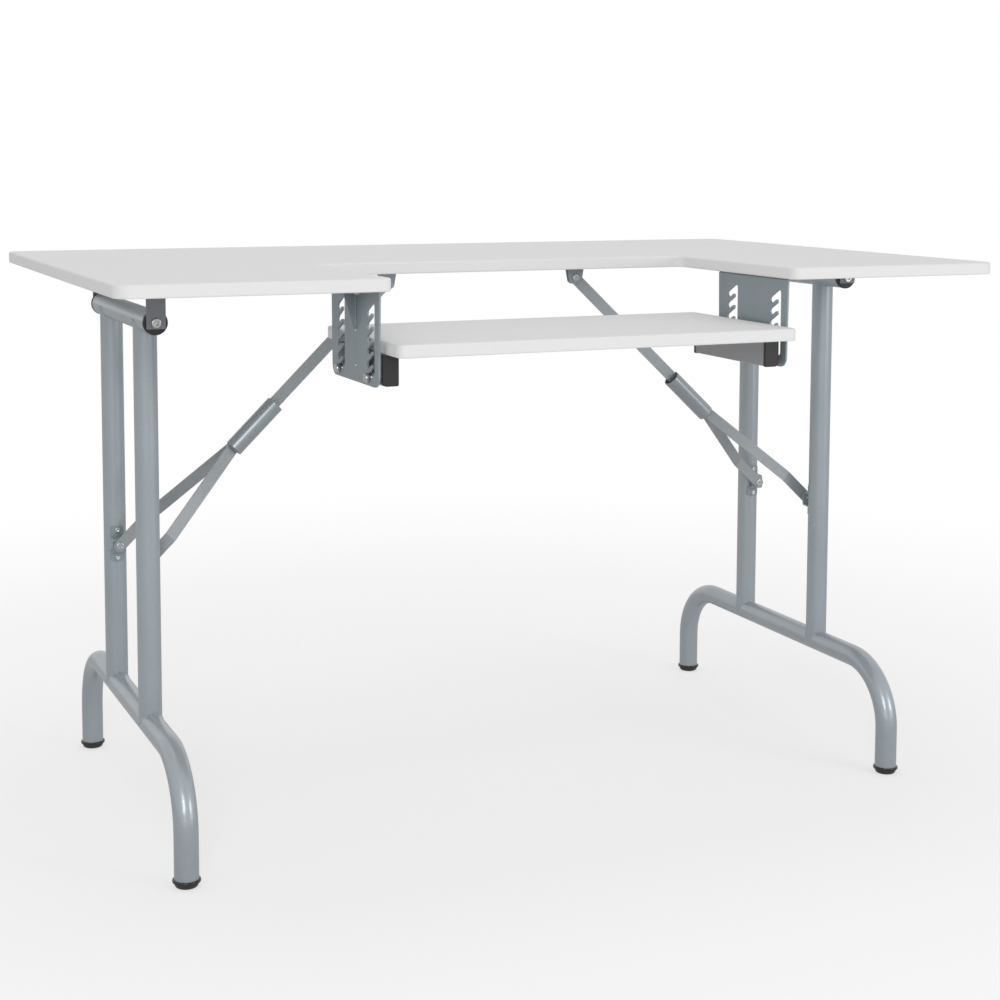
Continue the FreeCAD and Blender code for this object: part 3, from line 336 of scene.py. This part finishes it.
# Flat bars of the braces: a drier, more neutral coat with painted highlights on the edges.
BAR_GREY = powder_coat(
    "silver_grey_coat_on_flat_bar", dark="#878D91", light="#A9AEB2", metallic=0.3, roughness=0.44,
    edge_radius=0.5)

# Lock sleeves: the most metallic of the greys, polished by the hand that slides them.
SLEEVE_GREY = powder_coat(
    "silver_grey_gloss_coat", dark="#8F989D", light="#A1A9AE", metallic=0.45, roughness=0.3)

# Rails under the shelf: plain neutral grey with little metal in it, and painted highlights on the edges.
RAIL_GREY = powder_coat(
    "plain_grey_coat_on_rail", dark="#8B8C90", light="#9C9DA0", metallic=0.2, roughness=0.4,
    edge_radius=0.5)

# Pressed sheet of brackets, clevises and saddles: a bluer, darker grey with painted highlights on edges.
BRACKET_GREY = powder_coat(
    "blue_grey_powder_coat", dark="#808B91", light="#9AA5AB", metallic=0.3, roughness=0.38,
    edge_radius=0.6)

# Hanger straps: the darkest grey, with painted highlights on the edges.
HANGER_GREY = powder_coat(
    "dark_grey_coat_on_strap", dark="#6B6D73", light="#7F8288", metallic=0.25, roughness=0.4,
    edge_radius=0.6)

FINISHES = {
    LAMINATE: ("table_top", "shelf_board"),
    BRACKET_GREY: ("shelf_bracket", "brace_clevis", "fork_saddle"),
    HANGER_GREY: ("pivot_hanger",),
    RAIL_GREY: ("shelf_rail",),
    TUBE_GREY: ("pivot_tube", "upright"),
    FOOT_GREY: ("foot_bar",),
    BAR_GREY: ("upper_bar", "fork_bar"),
    SLEEVE_GREY: ("lock_sleeve",),
    BLACK: ("rail_plug", "pivot_cap"),
    FOOT_PVC: ("foot_cap",),
    ZINC: ("screws", "clevis_pins", "pivot_bolts", "shelf_pins", "shelf_pin_nuts", "rivet", "rivets"),
}


def dress_nodes():
    """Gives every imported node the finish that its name's ending calls for."""
    for name, node in frame["nodes"].items():
        finish = next(paint for paint, endings in FINISHES.items() if name.endswith(endings))
        for slot in node.material_slots:
            slot.material = finish


# Places read from the frame

MERGE_DISTANCE = 0.001 * MM


def solid_boxes(node):
    """(low, high) corners of each separate solid of a node."""
    mesh = bmesh.new()
    mesh.from_mesh(frame["nodes"][node].data)
    bmesh.ops.remove_doubles(mesh, verts=mesh.verts, dist=MERGE_DISTANCE)
    boxes = []
    waiting = set(mesh.verts)
    while waiting:
        front = [waiting.pop()]
        island = []
        while front:
            vert = front.pop()
            island.append(vert.co.copy())
            for edge in vert.link_edges:
                other = edge.other_vert(vert)
                if other in waiting:
                    waiting.remove(other)
                    front.append(other)
        low = Vector(min(point[axis] for point in island) for axis in range(3))
        high = Vector(max(point[axis] for point in island) for axis in range(3))
        boxes.append((low, high))
    mesh.free()
    return sorted(boxes, key=lambda box: tuple(box[0]))


# Pieces grown by geometry nodes

DRIVE = "drive"


def node_group(name, sizes):
    """Geometry node tree with one mesh in, one mesh out and an input for each size."""
    tree = bpy.data.node_groups.new(name, "GeometryNodeTree")
    tree.interface.new_socket("Places", in_out="INPUT", socket_type="NodeSocketGeometry")
    for label, kind in sizes.items():
        tree.interface.new_socket(label, in_out="INPUT", socket_type=kind)
    tree.interface.new_socket("Pieces", in_out="OUTPUT", socket_type="NodeSocketGeometry")
    return tree, add(tree, "NodeGroupInput").outputs


def end_tree(tree, geometry, material_socket):
    """Ends a tree: smooth faces, real geometry, and the material."""
    smooth = add(tree, "GeometryNodeSetShadeSmooth", {"Geometry": geometry})
    real = add(tree, "GeometryNodeRealizeInstances", {"Geometry": smooth.outputs["Geometry"]})
    painted = add(tree, "GeometryNodeSetMaterial", {
        "Geometry": real.outputs["Geometry"], "Material": material_socket,
    })
    add(tree, "NodeGroupOutput", {"Pieces": painted.outputs["Geometry"]})


def places_mesh(name, paths, closed=False, drives=None):
    """Mesh whose loose edges run along the paths; single points get a drive direction each."""
    verts = []
    edges = []
    for path in paths:
        first = len(verts)
        verts += [tuple(point) for point in path]
        edges += [(index, index + 1) for index in range(first, len(verts) - 1)]
        if closed:
            edges.append((len(verts) - 1, first))
    data = bpy.data.meshes.new(name)
    data.from_pydata(verts, edges, [])
    if drives:
        stored = data.attributes.new(DRIVE, "FLOAT_VECTOR", "POINT")
        for index, direction in enumerate(drives):
            stored.data[index].vector = direction
    return data


def grow(name, tree, data, values, body):
    """Runs a tree on its places, keeps the result as a plain mesh and puts it on a body."""
    piece = bpy.data.objects.new(name, data)
    bpy.context.scene.collection.objects.link(piece)
    modifier = piece.modifiers.new(tree.name, "NODES")
    modifier.node_group = tree
    for item in tree.interface.items_tree:
        if item.in_out == "INPUT" and item.name in values:
            modifier[item.identifier] = values[item.name]
    grown = piece.evaluated_get(bpy.context.evaluated_depsgraph_get())
    mesh = bpy.data.meshes.new_from_object(grown)
    piece.modifiers.remove(modifier)
    piece.data = mesh
    bpy.data.meshes.remove(data)
    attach(piece, body)
    return piece


# Cross-recess screws: a pan or a low domed head with a cross struck into it, and a shank with a
# rolled thread. Their sizes are in millimetres. Each screw is turned by its own random amount, as a
# driver leaves it.

PAN_SCREW = {"head_radius": 4.0, "head_height": 2.4, "shank_radius": 2.0, "length": 14.5, "pitch": 1.8}
RAIL_SCREW = {**PAN_SCREW, "length": 13.5}
DOME_SCREW = {"head_radius": 3.4, "head_height": 1.4, "shank_radius": 2.0, "length": 9.0, "pitch": 1.2}

# The cross, with its arms along the axes. Its floor is a share of its outline, and the depths of its
# floor and of the point below that are shares of the head's height.
RECESS_ARM = 1.9
RECESS_HALF_WIDTH = 0.55
RECESS_CORNER = math.degrees(math.atan2(RECESS_HALF_WIDTH, RECESS_ARM))
RECESS_FLOOR_SHARE = 0.45
RECESS_FLOOR_DEPTH = 0.6
RECESS_POINT_DEPTH = 0.65
RECESS_RIM_DIP = 0.05

# The crown: a flat round the cross, and a shoulder that rounds down to the upright side.
CROWN_FLAT_SHARE = 0.62
CROWN_SHOULDER_SHARE = 0.7
CROWN_STEPS = 4

# The thread starts below a plain neck. Its last share of rows is drawn in to the point.
NECK = 2.0
THREAD_DEPTH = 0.5
THREAD_STEEPNESS = 2.4
ROWS_PER_PITCH = 6
POINT_SHARE = 0.25
POINT_TAPER = 0.6

# Angles at which a ring of a screw has a vertex, in each quarter, from the arm's own middle.
RING_TURNS = (-45, -30, -RECESS_CORNER, -8, 0, 8, RECESS_CORNER, 30)


def recess_radius(degrees):
    """Distance from the axis to the outline of the cross, in an arm's own quarter."""
    turn = math.radians(degrees)
    if abs(degrees) <= RECESS_CORNER:
        return RECESS_ARM / math.cos(turn)
    return RECESS_HALF_WIDTH / abs(math.sin(turn))


def head_rings(stations, head_radius, head_height):
    """Rings of (radius, height) from the floor of the cross, over the crown, to the bearing face."""
    crest = -head_height
    floor_height = crest + head_height * RECESS_FLOOR_DEPTH
    rings = [
        [(recess_radius(turn) * RECESS_FLOOR_SHARE, floor_height) for _, turn in stations],
        [(recess_radius(turn), crest + RECESS_RIM_DIP) for _, turn in stations],
    ]
    flat = head_radius * CROWN_FLAT_SHARE
    for step in range(CROWN_STEPS + 1):
        lean = math.radians(90 * step / CROWN_STEPS)
        radius = flat + (head_radius - flat) * math.sin(lean)
        height = crest + head_height * CROWN_SHOULDER_SHARE * (1 - math.cos(lean))
        rings.append([(radius, height)] * len(stations))
    rings.append([(head_radius, 0)] * len(stations))
    return rings


def shank_rings(stations, shank_radius, length, pitch):
    """Rings of (radius, height) down the neck and the thread, sunk where its groove passes."""
    rings = [[(shank_radius, 0)] * len(stations)]
    rows = int((length - NECK) / pitch * ROWS_PER_PITCH)
    for row in range(rows + 1):
        height = NECK + row * pitch / ROWS_PER_PITCH
        into_point = max(0, row / rows - (1 - POINT_SHARE)) / POINT_SHARE
        taper = 1 - POINT_TAPER * into_point
        ring = []
        for degrees, _ in stations:
            phase = (height / pitch - degrees / 360) % 1
            sunk = THREAD_DEPTH * min(1, THREAD_STEEPNESS * abs(phase - 0.5))
            ring.append(((shank_radius - sunk) * taper, height))
        rings.append(ring)
    return rings


def screw_template(name, head_radius, head_height, shank_radius, length, pitch):
    """Screw that is driven along +Z, its head's bearing face at z = 0."""
    stations = [(quarter * 90 + turn, turn) for quarter in range(4) for turn in RING_TURNS]
    rings = head_rings(stations, head_radius, head_height)
    rings += shank_rings(stations, shank_radius, length, pitch)
    mesh = bmesh.new()
    loops = []
    for ring in rings:
        loop = []
        for (degrees, _), (radius, height) in zip(stations, ring):
            turn = math.radians(degrees)
            spot = Vector((radius * math.cos(turn), radius * math.sin(turn), height))
            loop.append(mesh.verts.new(spot * MM))
        loops.append(loop)
    count = len(stations)
    for lower, upper in zip(loops, loops[1:]):
        for index in range(count):
            after = (index + 1) % count
            mesh.faces.new((lower[index], lower[after], upper[after], upper[index]))
    recess_point = head_height * (RECESS_POINT_DEPTH - 1)
    for loop, height in ((loops[0], recess_point), (loops[-1], length)):
        pole = mesh.verts.new((0, 0, height * MM))
        for index in range(count):
            mesh.faces.new((loop[index], loop[(index + 1) % count], pole))
    bmesh.ops.recalc_face_normals(mesh, faces=mesh.faces)
    data = bpy.data.meshes.new(name)
    mesh.to_mesh(data)
    mesh.free()
    template = bpy.data.objects.new(name, data)
    bpy.context.scene.collection.objects.link(template)
    return template


def screw_tree():
    """Tree that sets a screw at each place, driven along the place's own direction."""
    sizes = {
        "Screw": "NodeSocketObject", "Size": "NodeSocketFloat", "Turn seed": "NodeSocketInt",
        "Finish": "NodeSocketMaterial",
    }
    tree, given = node_group("driven_screws", sizes)
    screw = add(tree, "GeometryNodeObjectInfo", {"Object": given["Screw"]})
    drive = add(tree, "GeometryNodeInputNamedAttribute", {"Name": DRIVE}, data_type="FLOAT_VECTOR")
    aim = add(tree, "FunctionNodeAlignRotationToVector", {
        "Vector": drive.outputs["Attribute"],
    }, axis="Z")
    turn = add(tree, "FunctionNodeRandomValue", {
        "Max": math.tau, "Seed": given["Turn seed"],
    }, data_type="FLOAT")
    about = add(tree, "FunctionNodeAxisAngleToRotation", {"Axis": (0, 0, 1), "Angle": turn.outputs["Value"]})
    turned = add(tree, "FunctionNodeRotateRotation", {
        "Rotation": aim.outputs["Rotation"], "Rotate By": about.outputs["Rotation"],
    }, rotation_space="LOCAL")
    driven = add(tree, "GeometryNodeInstanceOnPoints", {
        "Points": given["Places"], "Instance": screw.outputs["Geometry"],
        "Rotation": turned.outputs["Rotation"], "Scale": given["Size"],
    })
    end_tree(tree, driven.outputs["Instances"], given["Finish"])
    return tree


def from_below(low, high, head_height):
    """Bearing point and direction of a screw driven up, from the box of its plain solid."""
    middle = (low + high) / 2
    return Vector((middle.x, middle.y, low.z + head_height * MM)), UP


def from_inside(low, high, head_height):
    """The same of a screw driven level along Y, away from the middle of the table."""
    middle = (low + high) / 2
    outward = math.copysign(1, middle.y - TABLE_MIDDLE.y)
    crest = low.y if outward > 0 else high.y
    bearing = Vector((middle.x, crest + outward * head_height * MM, middle.z))
    return bearing, Vector((0, outward, 0))


def drive_screws(name, tree, sizes, aim, nodes, body, seed):
    """Puts a detailed screw in the place of each plain one of the nodes."""
    bearings = []
    drives = []
    for node in nodes:
        for low, high in solid_boxes(node):
            bearing, drive = aim(low, high, sizes["head_height"])
            bearings.append([bearing])
            drives.append(drive)
    template = screw_template(name + "_template", **sizes)
    values = {"Screw": template, "Size": 1.0, "Turn seed": seed, "Finish": ZINC}
    piece = grow(name, tree, places_mesh(name, bearings, drives=drives), values, body)
    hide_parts(*nodes)
    bpy.data.objects.remove(template)


def screws():
    tree = screw_tree()
    drive_screws("top_pan_screws", tree, PAN_SCREW, from_below,
                 ["bracket_screws", "hanger_screws", "clevis_screws"], "top", seed=3)
    drive_screws("shelf_pan_screws", tree, RAIL_SCREW, from_below, ["rail_screws"], "shelf", seed=5)
    for side, seed in (("left", 7), ("right", 11)):
        drive_screws(side + "_leg_dome_screws", tree, DOME_SCREW, from_inside,
                     [side + "_saddle_screws"], side + "_leg", seed)


# Weld beads: a rippled run of filler in the seam where one tube is coped on to another, short fillets
# along the gusset of each bracket, and the buttons of its spot welds, which are given bright zinc as a
# painted glint. Radius, pitch and step are metres, the ripple's depth and the least width are shares
# of the bead's radius, and a higher fullness keeps a bead wide nearer to its ends.

TUBE_BEAD = {
    "Bead radius": 2.1 * MM, "Ripple pitch": 2.6 * MM, "Ripple depth": 0.1, "End fullness": 2.0,
    "Least width": 1.0, "Step": 0.55 * MM, "Finish": TUBE_GREY,
}
GUSSET_BEAD = {
    "Bead radius": 1.2 * MM, "Ripple pitch": 2.2 * MM, "Ripple depth": 0.12, "End fullness": 20.0,
    "Least width": 0.3, "Step": 0.5 * MM, "Finish": BRACKET_GREY,
}
# Spot-weld buttons in bright zinc on the grey bracket: a painted glint.
GLINTING_SPOT_BUTTON = {
    "Bead radius": 1.9 * MM, "Ripple pitch": 9 * MM, "Ripple depth": 0.0, "End fullness": 2.0,
    "Least width": 0.15, "Step": 0.3 * MM, "Finish": ZINC,
}
CREASE_RIDGE = {
    "Bead radius": 0.8 * MM, "Ripple pitch": 9 * MM, "Ripple depth": 0.0, "End fullness": 6.0,
    "Least width": 0.2, "Step": 1.0 * MM, "Finish": BRACKET_GREY,
}


def weld_tree():
    """Tree that lays a round bead on each path, rippled along its length and tapered at its ends."""
    sizes = {
        "Bead radius": "NodeSocketFloat", "Ripple pitch": "NodeSocketFloat",
        "Ripple depth": "NodeSocketFloat", "End fullness": "NodeSocketFloat",
        "Least width": "NodeSocketFloat", "Step": "NodeSocketFloat", "Finish": "NodeSocketMaterial",
    }
    tree, given = node_group("weld_bead", sizes)
    path = add(tree, "GeometryNodeMeshToCurve", {"Mesh": given["Places"]})
    even = add(tree, "GeometryNodeResampleCurve", {
        "Curve": path.outputs["Curve"], "Length": given["Step"],
    }, mode="LENGTH")
    spline = add(tree, "GeometryNodeSplineParameter")
    cycles = add(tree, "ShaderNodeMath", {
        0: spline.outputs["Length"], 1: given["Ripple pitch"],
    }, operation="DIVIDE")
    angle = add(tree, "ShaderNodeMath", {0: cycles.outputs["Value"], 1: math.tau}, operation="MULTIPLY")
    wave = add(tree, "ShaderNodeMath", {0: angle.outputs["Value"]}, operation="SINE")
    ripple = add(tree, "ShaderNodeMath", {
        0: wave.outputs["Value"], 1: given["Ripple depth"], 2: 1.0,
    }, operation="MULTIPLY_ADD")
    off_middle = add(tree, "ShaderNodeMath", {
        0: spline.outputs["Factor"], 1: 2.0, 2: -1.0,
    }, operation="MULTIPLY_ADD")
    reach = add(tree, "ShaderNodeMath", {0: off_middle.outputs["Value"]}, operation="ABSOLUTE")
    fall = add(tree, "ShaderNodeMath", {
        0: reach.outputs["Value"], 1: given["End fullness"],
    }, operation="POWER")
    left_over = add(tree, "ShaderNodeMath", {0: 1.0, 1: fall.outputs["Value"]}, operation="SUBTRACT")
    rounded = add(tree, "ShaderNodeMath", {0: left_over.outputs["Value"]}, operation="SQRT")
    width = add(tree, "ShaderNodeMath", {
        0: rounded.outputs["Value"], 1: given["Least width"],
    }, operation="MAXIMUM")
    swell = add(tree, "ShaderNodeMath", {
        0: width.outputs["Value"], 1: ripple.outputs["Value"],
    }, operation="MULTIPLY")
    section = add(tree, "GeometryNodeCurvePrimitiveCircle", {
        "Resolution": 12, "Radius": given["Bead radius"],
    })
    bead = add(tree, "GeometryNodeCurveToMesh", {
        "Curve": even.outputs["Curve"], "Profile Curve": section.outputs["Curve"],
        "Scale": swell.outputs["Value"], "Fill Caps": True,
    })
    end_tree(tree, bead.outputs["Mesh"], given["Finish"])
    return tree


TUBE_RADIUS = 15.0
SEAM_SINK = 0.5
SEAM_SOFTNESS = 2.5
SEAM_STEPS = 240


def coped_seam(x, y, axis_z, rise):
    """Closed line where an upright tube meets a level tube of the same size along Y.

    The seam lies over the level tube's axis where rise is 1, and under it where rise is -1.
    """
    radius = (TUBE_RADIUS - SEAM_SINK) * MM
    soft = SEAM_SOFTNESS * MM
    seam = []
    for step in range(SEAM_STEPS):
        turn = math.tau * step / SEAM_STEPS
        across = radius * math.sin(turn)
        height = math.sqrt(across * across + soft * soft) - soft / 2
        seam.append(Vector((x + radius * math.cos(turn), y + across, axis_z + rise * height)))
    return seam


def tube_welds(tree):
    """Beads at both ends of each upright, on the pivot tube and on the foot bar."""
    for side in SIDES:
        pivot_low, pivot_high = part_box(side + "_pivot_tube")
        pivot_z = (pivot_low.z + pivot_high.z) / 2
        bar_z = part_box(side + "_foot_bar")[1].z - TUBE_RADIUS * MM
        seams = []
        for end in ENDS:
            low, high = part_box(f"{side}_{end}_upright")
            x = (low.x + high.x) / 2
            y = (low.y + high.y) / 2
            seams.append(coped_seam(x, y, bar_z, 1))
            seams.append(coped_seam(x, y, pivot_z, -1))
        name = side + "_tube_welds"
        data = places_mesh(name, seams, closed=True)
        grow(name, tree, data, TUBE_BEAD, side + "_leg")


# Places on a bracket: the gusset's distance behind the bracket's front edge, and the drops below the
# bracket's top at which each weld starts and ends.
SHEET = 2.5
GUSSET_SETBACK = 83.0
FILLET_DROPS = (50, 8)
SPOT_DROPS = (54, 97)
SPOT_HALF_LENGTH = 2.2
CREASE_DROPS = (59, 92)
BEAD_OFFSET = 0.5


def plumb_line(x, y, top, drops):
    """Upright line between two drops below a height."""
    return [Vector((x, y, top - drop * MM)) for drop in drops]


def bracket_welds(tree):
    """Fillets beside each bracket's gusset, and below it two bright zinc spot welds, a painted glint, with a
    crease between them.
    """
    for side in SIDES:
        low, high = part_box(side + "_shelf_bracket")
        gusset_y = low.y + GUSSET_SETBACK * MM
        outward = -1 if side == "left" else 1
        face_x = (high.x if side == "left" else low.x) + outward * SHEET * MM
        proud_x = face_x + outward * BEAD_OFFSET * MM
        sunk_x = face_x - outward * BEAD_OFFSET * MM
        fillets = []
        for beside in (-1, 1):
            fillet_y = gusset_y + beside * (SHEET / 2 + BEAD_OFFSET) * MM
            fillets.append(plumb_line(proud_x, fillet_y, high.z, FILLET_DROPS))
        spots = []
        for drop in SPOT_DROPS:
            span = (drop - SPOT_HALF_LENGTH, drop + SPOT_HALF_LENGTH)
            spots.append(plumb_line(sunk_x, gusset_y, high.z, span))
        crease = plumb_line(sunk_x, gusset_y, high.z, CREASE_DROPS)
        welds = (
            ("_gusset_fillets", fillets, GUSSET_BEAD),
            ("_spot_welds", spots, GLINTING_SPOT_BUTTON),
            ("_bracket_crease", [crease], CREASE_RIDGE),
        )
        for ending, paths, bead in welds:
            name = side + ending
            grow(name, tree, places_mesh(name, paths), bead, "top")


# Stage, light and camera. The floor glows white to the eye far from the table. Near the table the glow
# lets part of its shaded paint through, so that the shadow shows.

WHITE = "#FFFFFF"
FLOOR_PAINT = "#F9F9F9"
FLOOR_HALF_WIDTH = 30.0
FLOOR_FADE_START = 0.5
FLOOR_FADE_END = 2.2
FLOOR_GLOW = 0.62
FLOOR_GLOW_IN_GLOSS = 0.9
FLOOR_LIGHT_IN_GLOSS = 0.55
AMBIENT = 0.5


def floor():
    """Pale floor that fades to the plain background away from the table, and keeps its shadow."""
    mesh = bmesh.new()
    bmesh.ops.create_grid(mesh, x_segments=1, y_segments=1, size=FLOOR_HALF_WIDTH)
    data = bpy.data.meshes.new("studio_floor")
    mesh.to_mesh(data)
    mesh.free()
    plane = bpy.data.objects.new("studio_floor", data)
    bpy.context.scene.collection.objects.link(plane)
    material, tree, place = new_material("studio_floor_paint")
    distance = add(tree, "ShaderNodeVectorMath", {0: place}, operation="LENGTH")
    fade = add(tree, "ShaderNodeMapRange", {
        "Value": distance.outputs["Value"], "From Min": FLOOR_FADE_START, "From Max": FLOOR_FADE_END,
        "To Min": FLOOR_GLOW, "To Max": 1.0,
    }, interpolation_type="SMOOTHSTEP")
    light_path = add(tree, "ShaderNodeLightPath")
    seen = add(tree, "ShaderNodeMath", {
        0: light_path.outputs["Is Camera Ray"], 1: fade.outputs["Result"],
    }, operation="MULTIPLY")
    mirrored = add(tree, "ShaderNodeMath", {
        0: light_path.outputs["Is Glossy Ray"], 1: FLOOR_GLOW_IN_GLOSS,
    }, operation="MULTIPLY")
    share = add(tree, "ShaderNodeMath", {
        0: seen.outputs["Value"], 1: mirrored.outputs["Value"],
    }, operation="MAXIMUM")
    strength = add(tree, "ShaderNodeMapRange", {
        "Value": light_path.outputs["Is Camera Ray"], "To Min": FLOOR_LIGHT_IN_GLOSS, "To Max": 1.0,
    })
    paint = add(tree, "ShaderNodeBsdfDiffuse", {"Color": colour(FLOOR_PAINT)})
    glow = add(tree, "ShaderNodeEmission", {
        "Color": colour(WHITE), "Strength": strength.outputs["Result"],
    })
    mixed = add(tree, "ShaderNodeMixShader", {
        0: share.outputs["Value"], 1: paint.outputs["BSDF"], 2: glow.outputs["Emission"],
    })
    add(tree, "ShaderNodeOutputMaterial", {"Surface": mixed.outputs["Shader"]})
    material.cycles.emission_sampling = "NONE"
    data.materials.append(material)


def world():
    """White to the eye and in reflections, and a dimmer even light on the table."""
    bpy.context.scene.world = bpy.data.worlds.new("studio")
    bpy.context.scene.world.use_nodes = True
    tree = bpy.context.scene.world.node_tree
    tree.nodes.clear()
    light_path = add(tree, "ShaderNodeLightPath")
    mirrored = add(tree, "ShaderNodeMath", {
        0: light_path.outputs["Is Camera Ray"], 1: light_path.outputs["Is Glossy Ray"],
    }, operation="MAXIMUM")
    seen = add(tree, "ShaderNodeMath", {
        0: mirrored.outputs["Value"], 1: light_path.outputs["Is Transmission Ray"],
    }, operation="MAXIMUM")
    ambient = add(tree, "ShaderNodeBackground", {"Color": colour(WHITE), "Strength": AMBIENT})
    backdrop = add(tree, "ShaderNodeBackground", {"Color": colour(WHITE), "Strength": 1.0})
    mixed = add(tree, "ShaderNodeMixShader", {
        0: seen.outputs["Value"], 1: ambient.outputs["Background"], 2: backdrop.outputs["Background"],
    })
    add(tree, "ShaderNodeOutputWorld", {"Surface": mixed.outputs["Shader"]})


def softbox(name, place, aim, width, height, power):
    """Rectangular lamp at a place, turned to what it aims at; metres and watts."""
    light = bpy.data.lights.new(name, "AREA")
    light.shape = "RECTANGLE"
    light.size = width
    light.size_y = height
    light.energy = power
    lamp = bpy.data.objects.new(name, light)
    lamp.location = place
    lamp.rotation_mode = "QUATERNION"
    lamp.rotation_quaternion = (Vector(aim) - Vector(place)).to_track_quat("-Z", "Y")
    bpy.context.scene.collection.objects.link(lamp)


def softboxes():
    softbox("left_softbox", place=(-1.7, -3.5, 1.75), aim=(0, 0, 0.45), width=0.9, height=1.3, power=36)
    softbox("right_softbox", place=(2.1, -2.8, 1.1), aim=(0, 0, 0.45), width=0.9, height=0.8, power=19)
    softbox("top_softbox", place=(0, 0.4, 3.2), aim=(0, 0, 0.7), width=2.6, height=1.8, power=18)


FOCAL_PIXELS = 1801.41
FRAME_PIXELS = 1000
SENSOR = 36.0
PRINCIPAL_Y = 320.0
CAMERA_YAW = math.radians(23.972)
CAMERA_PITCH = math.radians(5.2214)
CAMERA_ROLL = math.radians(0.1926)
CAMERA_PLACE = Vector((-1.01264, -2.33137, 0.87283))


def camera():
    """Camera at the user's left: yaw turns it to the right, and pitch is down."""
    ahead = Vector((
        math.sin(CAMERA_YAW) * math.cos(CAMERA_PITCH),
        math.cos(CAMERA_YAW) * math.cos(CAMERA_PITCH),
        -math.sin(CAMERA_PITCH),
    ))
    right = Vector((math.cos(CAMERA_YAW), -math.sin(CAMERA_YAW), 0))
    above = right.cross(ahead)
    rolled_right = right * math.cos(CAMERA_ROLL) + above * math.sin(CAMERA_ROLL)
    rolled_above = above * math.cos(CAMERA_ROLL) - right * math.sin(CAMERA_ROLL)
    data = bpy.data.cameras.new("camera")
    data.sensor_width = SENSOR
    data.lens = FOCAL_PIXELS * SENSOR / FRAME_PIXELS
    data.shift_y = (PRINCIPAL_Y - FRAME_PIXELS / 2) / FRAME_PIXELS
    data.clip_start = 0.1
    data.clip_end = 100.0
    body = bpy.data.objects.new("camera", data)
    turn = Matrix((rolled_right, rolled_above, -ahead)).transposed()
    body.matrix_world = Matrix.Translation(CAMERA_PLACE) @ turn.to_4x4()
    bpy.context.scene.collection.objects.link(body)
    bpy.context.scene.camera = body


dress_nodes()
screws()
bead_tree = weld_tree()
tube_welds(bead_tree)
bracket_welds(bead_tree)
floor()
world()
softboxes()
camera()
bpy.context.scene.view_settings.view_transform = "Standard"
